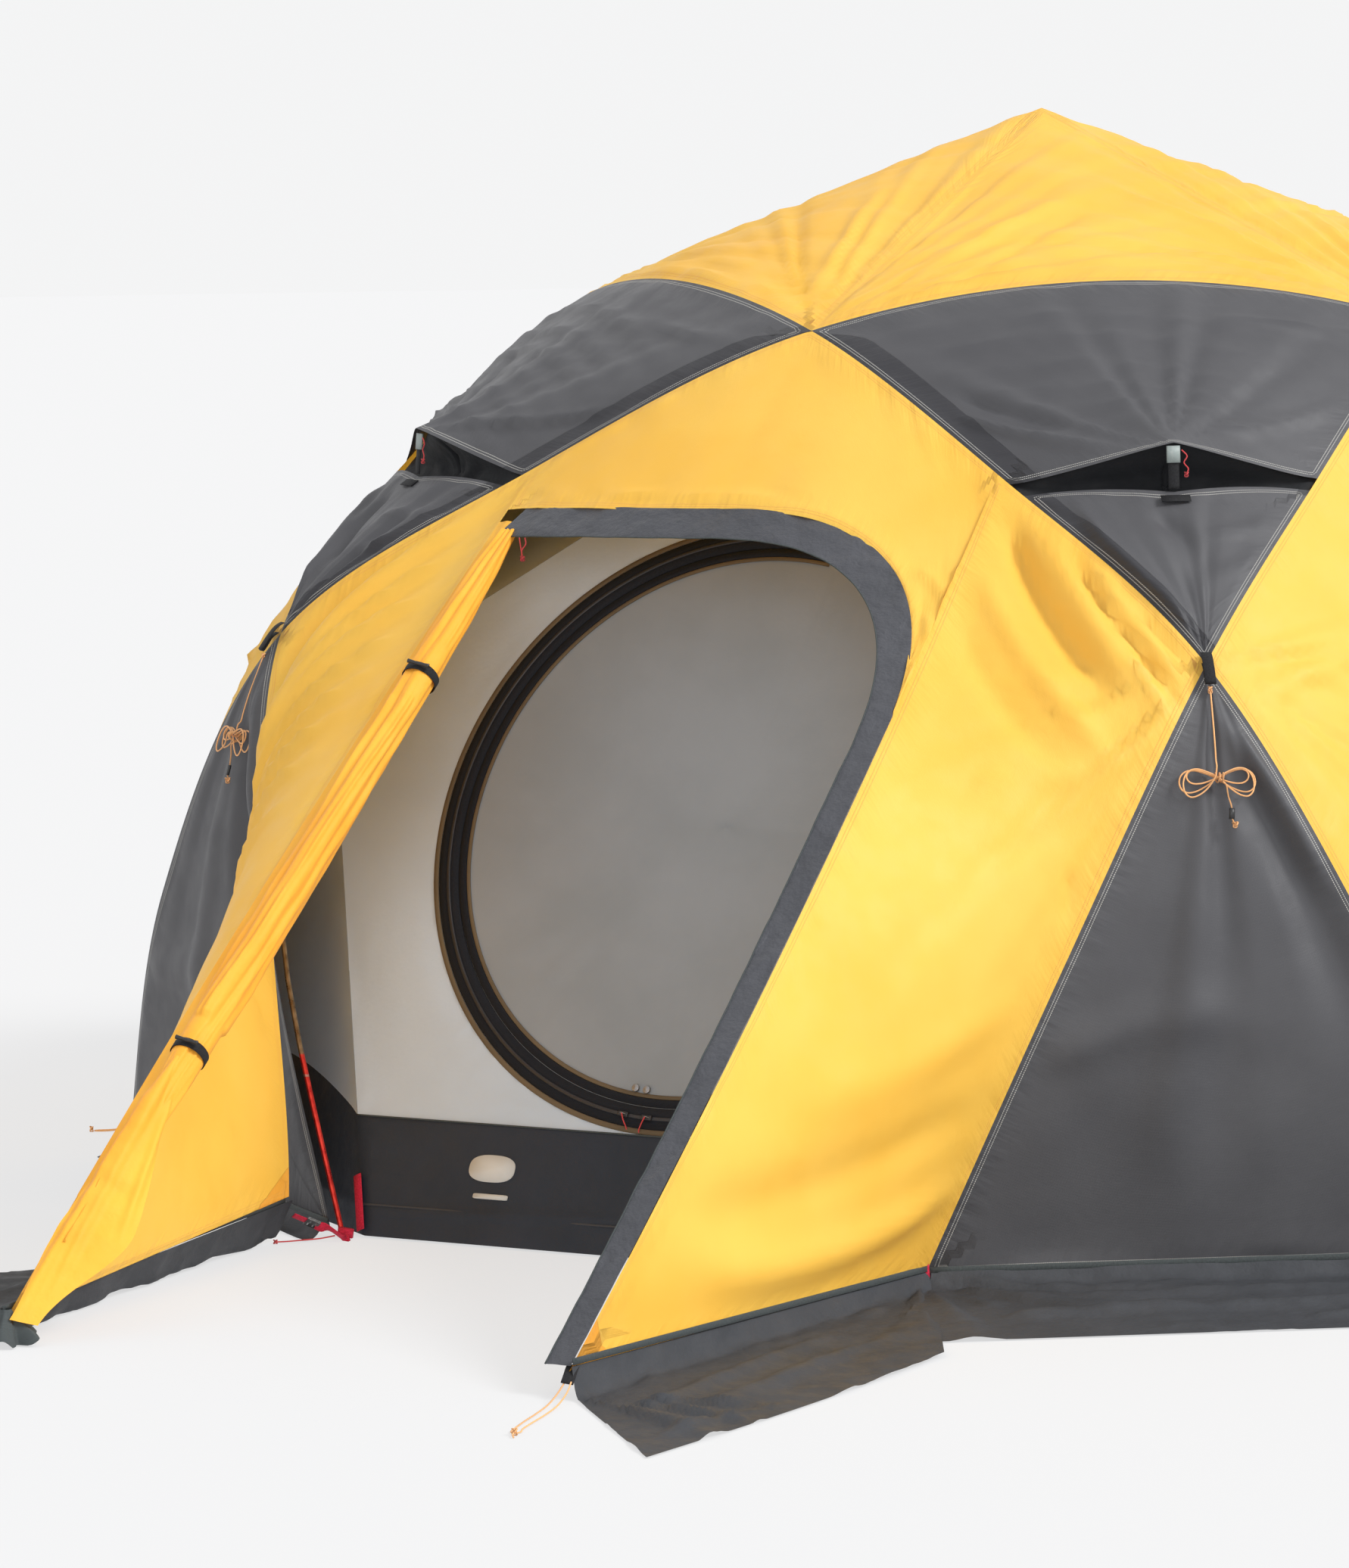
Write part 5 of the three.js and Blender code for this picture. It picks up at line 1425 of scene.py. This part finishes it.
def make_front_wall():
    corners = [wall_corner(TUB_FRONT, TUB_HEIGHT), wall_corner(TUB_FRONT + 1, TUB_HEIGHT), inner_mid(0),
               inner_cap(0), inner_mid(4)]
    flat = np.array([[(c - DOOR_CENTRE) @ WALL_RIGHT, (c - DOOR_CENTRE) @ WALL_UP] for c in corners])
    turn = np.sort(np.concatenate([np.linspace(-math.pi, math.pi, 241)[:-1],
                                   np.arctan2(flat[:, 1], flat[:, 0])]))
    x, y = np.cos(turn), np.sin(turn)
    reach = np.full(len(turn), 9.0)
    for a, b in zip(flat, np.roll(flat, -1, axis=0)):
        edge = b - a
        cross = x * edge[1] - y * edge[0]
        cross = np.where(np.abs(cross) < 1e-9, 1e-9, cross)
        t, s = (a[0] * edge[1] - a[1] * edge[0]) / cross, (a[0] * y - a[1] * x) / cross
        reach = np.where((t > 0) & (s > -1e-6) & (s < 1 + 1e-6) & (t < reach), t, reach)
    share = np.linspace(0, 1, 26)[:, None] ** 1.1
    radius = WALL_HOLE + (np.maximum(reach, 0.622) - WALL_HOLE)[None] * share
    away, left = radius - WALL_HOLE, reach - radius
    pucker = 0.0020 * noise1(turn * 62, 701)[None] * np.exp(-away / 0.05) * smooth(away, 0, 0.01)
    pucker = pucker + 0.0022 * noise1(turn * 40, 702)[None] * np.exp(-left / 0.10) * smooth(left, 0, 0.02)
    belly = 0.006 * noise2(radius * 4 + x[None] * 2, y[None] * 2 + radius * 0, 703)
    belly = belly * smooth(away, 0, 0.06) * smooth(left, 0, 0.05)
    points = on_wall(radius * x[None], radius * y[None], pucker + belly - 0.001)
    cloth_piece("inner_front_wall", Sheets().add(points, closed=True), "wall")


def sweep_arc(sheets, profile, start, end, look=0):
    """A closed profile of radius and height, swept round the door's centre."""
    turn = np.radians(np.linspace(start, end, 200))
    rings = np.stack([on_wall(r * np.cos(turn), r * np.sin(turn), z) for r, z in profile], 1)
    return sheets.add(capped(rings), look, closed=True, flip=True)


def make_round_door():
    ring, tape, inner = Sheets(), Sheets(), Sheets()
    sweep_arc(ring, ZIP_PROFILE, ZIP_START, ZIP_END)
    sweep_arc(ring, COIL_PROFILE, ZIP_START + 0.3, ZIP_END - 0.3, 1)
    link("door_zip", ring.mesh("door_zip"), ["zip", "coil"])
    sweep_arc(tape, OUTER_TAPE_PROFILE, ZIP_START - 6, ZIP_END + 4)
    link("door_tape_outer", tape.mesh("door_tape_outer"), "tan")
    sweep_arc(inner, INNER_TAPE_PROFILE, ZIP_START + 1, ZIP_END - 1)
    sweep_arc(inner, INNER_TRIM_PROFILE, ZIP_START + 1, ZIP_END - 1, 1)
    link("door_tape_inner", inner.mesh("door_tape_inner"), ["zip", "tan"], "inner_door_body")
    turn = np.radians(np.linspace(0, 360, 241)[:-1])
    degrees = np.degrees(turn)
    rim = np.where((degrees >= ZIP_START) & (degrees <= ZIP_END), 0.5765, 0.617)
    share = np.linspace(0.002, 1, 34)[:, None]
    radius = rim[None] * share
    sag = -0.012 * (1 - share**2) * (0.7 + 0.3 * np.sin(turn)[None]) + 0 * radius
    sag = sag + 0.0016 * noise1(turn * 30, 711)[None] * share**4 * (1 - share) * 6
    points = on_wall(radius * np.cos(turn)[None], radius * np.sin(turn)[None], sag - 0.0012)
    cloth_piece("inner_door", Sheets().add(points, closed=True), "mesh",
                "inner_door_body")
    make_slider(1, math.radians(262.5), "left", 1)
    make_slider(2, math.radians(267.5), "right", -1)
    for number, angle in ((1, 264.2), (2, 266.4)):
        turn = math.radians(angle)
        middle = on_wall(0.641 * math.cos(turn), 0.641 * math.sin(turn), 0.003)
        dome_stud(f"snap_{number}", middle + WALL_UP * 0.098, WALL_OUT, 0.0075, "steel")


def dome_stud(name, centre, out, radius, material):
    side = unit(np.cross(out, [0, 0, 1.0]))
    up = np.cross(side, out)
    turn = np.linspace(0, 2 * math.pi, 24, endpoint=False)[:, None]
    shell(name, np.array([centre + radius * r * (np.cos(turn) * side + np.sin(turn) * up) + out * z
                          for r, z in STUD_PROFILE]), material)


def make_slider(number, turn, label, way):
    body = f"zip_slider_{label}"
    radial = math.cos(turn) * WALL_RIGHT + math.sin(turn) * WALL_UP
    along = -math.sin(turn) * WALL_RIGHT + math.cos(turn) * WALL_UP
    middle = on_wall(0.5985 * math.cos(turn), 0.5985 * math.sin(turn), 0.0055)
    path = middle + np.linspace(-0.011, 0.011, 9)[:, None] * along
    ribbon(f"zip_slider_{number}", path, WALL_OUT, 0.0105, 0.0055, "coil", body)
    bridge = through([middle - along * 0.007, middle + WALL_OUT * 0.0065, middle + along * 0.007], 9)
    ribbon(f"zip_bridge_{number}", bridge, radial, 0.0035, 0.0018, "steel", body)
    lean = 0.006 * way
    pull_cord(f"zip_pull_{number}", middle + WALL_OUT * 0.007,
              [(lean, -0.004, -0.014), (lean * 2, -0.003, -0.030), (lean * 1.2, 0.004, -0.046),
               (-lean, 0.006, -0.060), (-lean * 2.2, 0.008, -0.074)], body)


# ---------------------------------------------------------------- vents and straps
def make_struts():
    for i in range(SIDES):
        normal, body = triangle_normal(i), f"vent_strut_body_{i + 1}"
        foot = sill_surface(i)(0.5, 0.0) + normal * 0.007
        head = hood_surface(i)(0.5, 1.0) - normal * 0.014
        ribbon(f"vent_strut_{i + 1}", through([foot, foot + (head - foot) * 0.5, head], 14), normal, 0.021,
               0.0022, "black_web", body)
        rise = unit(head - foot)
        cap = [head - rise * 0.030, head - rise * 0.012, head + rise * 0.002]
        ribbon(f"strut_cap_{i + 1}", cap, normal, 0.026, 0.007, "cap", body)
        side = unit(np.cross(rise, normal))
        pull_cord(f"vent_pull_{i + 1}", head + side * 0.016 - rise * 0.006,
                  [side * out - rise * down for out, down in VENT_PULL_STEPS], body)
        bar = sill_surface(i)(0.5, 0.055) + normal * 0.0045
        dark = [bar - side * 0.028, bar, bar + side * 0.028]
        ribbon(f"hook_tape_{i + 1}", dark, normal, 0.020, 0.0022, "black_web")


def make_foot_strap():
    foot = foot_node(0, -1)
    foot = foot * (1 - 0.024 / np.linalg.norm(foot))
    start = foot + np.array([0.012, -0.040, 0.016])
    end = FLY_CORNER + np.array([0.016, -0.006, -0.014])
    face = unit(np.array([-0.6, -0.8, 0.1]))
    share = np.linspace(-0.30, 0.50, 16)
    path = start + (end - start) * share[:, None]
    path[:, 2] = np.maximum(path[:, 2], 0.008) + 0.003 * np.sin(share * 9)
    ribbon("foot_strap", path, face, 0.020, 0.002, "red")
    share = np.linspace(0.66, 1.02, 10)[:, None]
    ribbon("foot_strap_upper", start + (end - start) * share, face, 0.020, 0.0018, "red")
    corner = [wall_corner(TUB_FRONT, height) for height in (0.014, 0.035, 0.060, 0.085, 0.112)]
    ribbon("tub_webbing", np.array(corner) + np.array([-0.004, -0.007, 0.001]), (-0.3, -0.9, 0.3), 0.021,
           0.0022, "red")
    pull_cord("foot_pull", foot + np.array([0.006, -0.036, 0.010]),
              [(-0.020, -0.022, -0.0035), (-0.045, -0.045, -0.005), (-0.070, -0.064, -0.0065),
               (-0.086, -0.078, -0.0065)], radius=0.0014)
    seat = foot + np.array([0.010, -0.006, 0.0])
    ribbon("foot_cup", [seat + np.array([0, 0, 0.003]), seat + np.array([0.002, 0.001, 0.020])],
           (0.3, -0.9, 0.2), 0.030, 0.020, "red")


def make_hem_tapes():
    corner = leg_down(0)(1.0)
    runs = {"front_right": (BEAK_FOOT + np.array([0.0015, 0.002, 0.006]),
                            corner + np.array([0.0015, -0.002, 0.004]), (0.97, -0.2, 0.1))}
    for i in range(SIDES):
        runs[f"corner_{i + 1}"] = (leg_down(i)(1.0), far_leg_down(i)(1.0),
                                   polar(STEP * i + STEP / 2, 1.0, 0.1))
        if i:
            runs[f"side_{i + 1}"] = (far_leg_down(i - 1)(1.0), leg_down(i)(1.0), polar(STEP * i, 1.0, 0.1))
    runs["front_left"] = (mirrored(BEAK_FOOT) + np.array([-0.001, 0, 0.006]),
                          FLY_CORNER + np.array([-0.001, 0, 0.004]), (-0.97, -0.2, 0.1))
    for label, (a, b, face) in runs.items():
        share = np.linspace(0, 1, 24)[:, None]
        path = a + (b - a) * share + unit(np.array(face)) * 0.0058 + np.array([0.0, 0.0, 0.010])
        ribbon(f"hem_tape_{label}", path, face, 0.012, 0.0016, "tape")
    tab = corner + np.array([(0.001, -0.006, 0.022), (0.003, -0.008, 0.006), (0.004, -0.009, -0.008)])
    ribbon("corner_tab", tab, (0.5, -0.85, 0.1), 0.020, 0.0018, "red")
    tail = mirrored(BEAK_FOOT) + np.array([(0.004, 0.004, 0.010), (0.014, -0.012, -0.006),
                                           (0.020, -0.020, -0.030)])
    ribbon("left_foot_lock", tail, (0.2, -0.9, 0.3), 0.016, 0.008, "black")


def dress_cad():
    """The CAD pieces that stay in view get their own look."""
    for name in [f"pole_{i + 1}" for i in range(SIDES)] + ["peak_frame", "ladder_lock"]:
        piece = bpy.data.objects[name]
        piece.data.materials.clear()
        piece.data.materials.append(MATERIAL["black" if name == "ladder_lock" else "pole"])
        for polygon in piece.data.polygons:
            polygon.material_index = 0
            polygon.use_smooth = name != "ladder_lock"


# ---------------------------------------------------------------- room
def make_room():
    mesh = bpy.data.meshes.new("floor")
    turn = [2 * math.pi * k / 96 for k in range(96)]
    mesh.from_pydata([(60 * math.cos(a), 60 * math.sin(a), -0.0005) for a in turn], [], [list(range(96))])
    floor = bpy.data.objects.new("floor", mesh)
    bpy.context.scene.collection.objects.link(floor)
    pale = Surface("floor_pale", (0.18, 0.18, 0.181), 0.9, Specular_IOR_Level=0.0,
                   Emission_Color=(0.645, 0.646, 0.650, 1), Emission_Strength=1.0)
    floor.data.materials.append(pale.material)
    world = bpy.data.worlds.new("studio")
    world.use_nodes = True
    world.node_tree.nodes["Background"].inputs[0].default_value = (0.905, 0.907, 0.91, 1)
    bpy.context.scene.world = world
    bpy.context.scene.view_settings.view_transform = "Standard"
    for name, direction, power, angle in LAMPS:
        lamp = bpy.data.objects.new(name, bpy.data.lights.new(name, "SUN"))
        lamp.data.energy = power
        lamp.data.angle = math.radians(angle)
        lamp.rotation_euler = Vector(direction).to_track_quat("Z", "Y").to_euler()
        bpy.context.scene.collection.objects.link(lamp)


add_camera()
make_materials()
for label, turn in (("right", 1), ("left", -1)):
    make_guyline(f"guyline_{label}", turn)
    make_stake_loop(f"stake_loop_{label}", turn)
make_base_loop()
make_fly()
make_linings()
make_door_band()
make_rolled_door()
make_snow_flaps()
make_tub()
make_canopy()
make_front_wall()
make_round_door()
make_struts()
make_foot_strap()
make_hem_tapes()
dress_cad()
make_room()
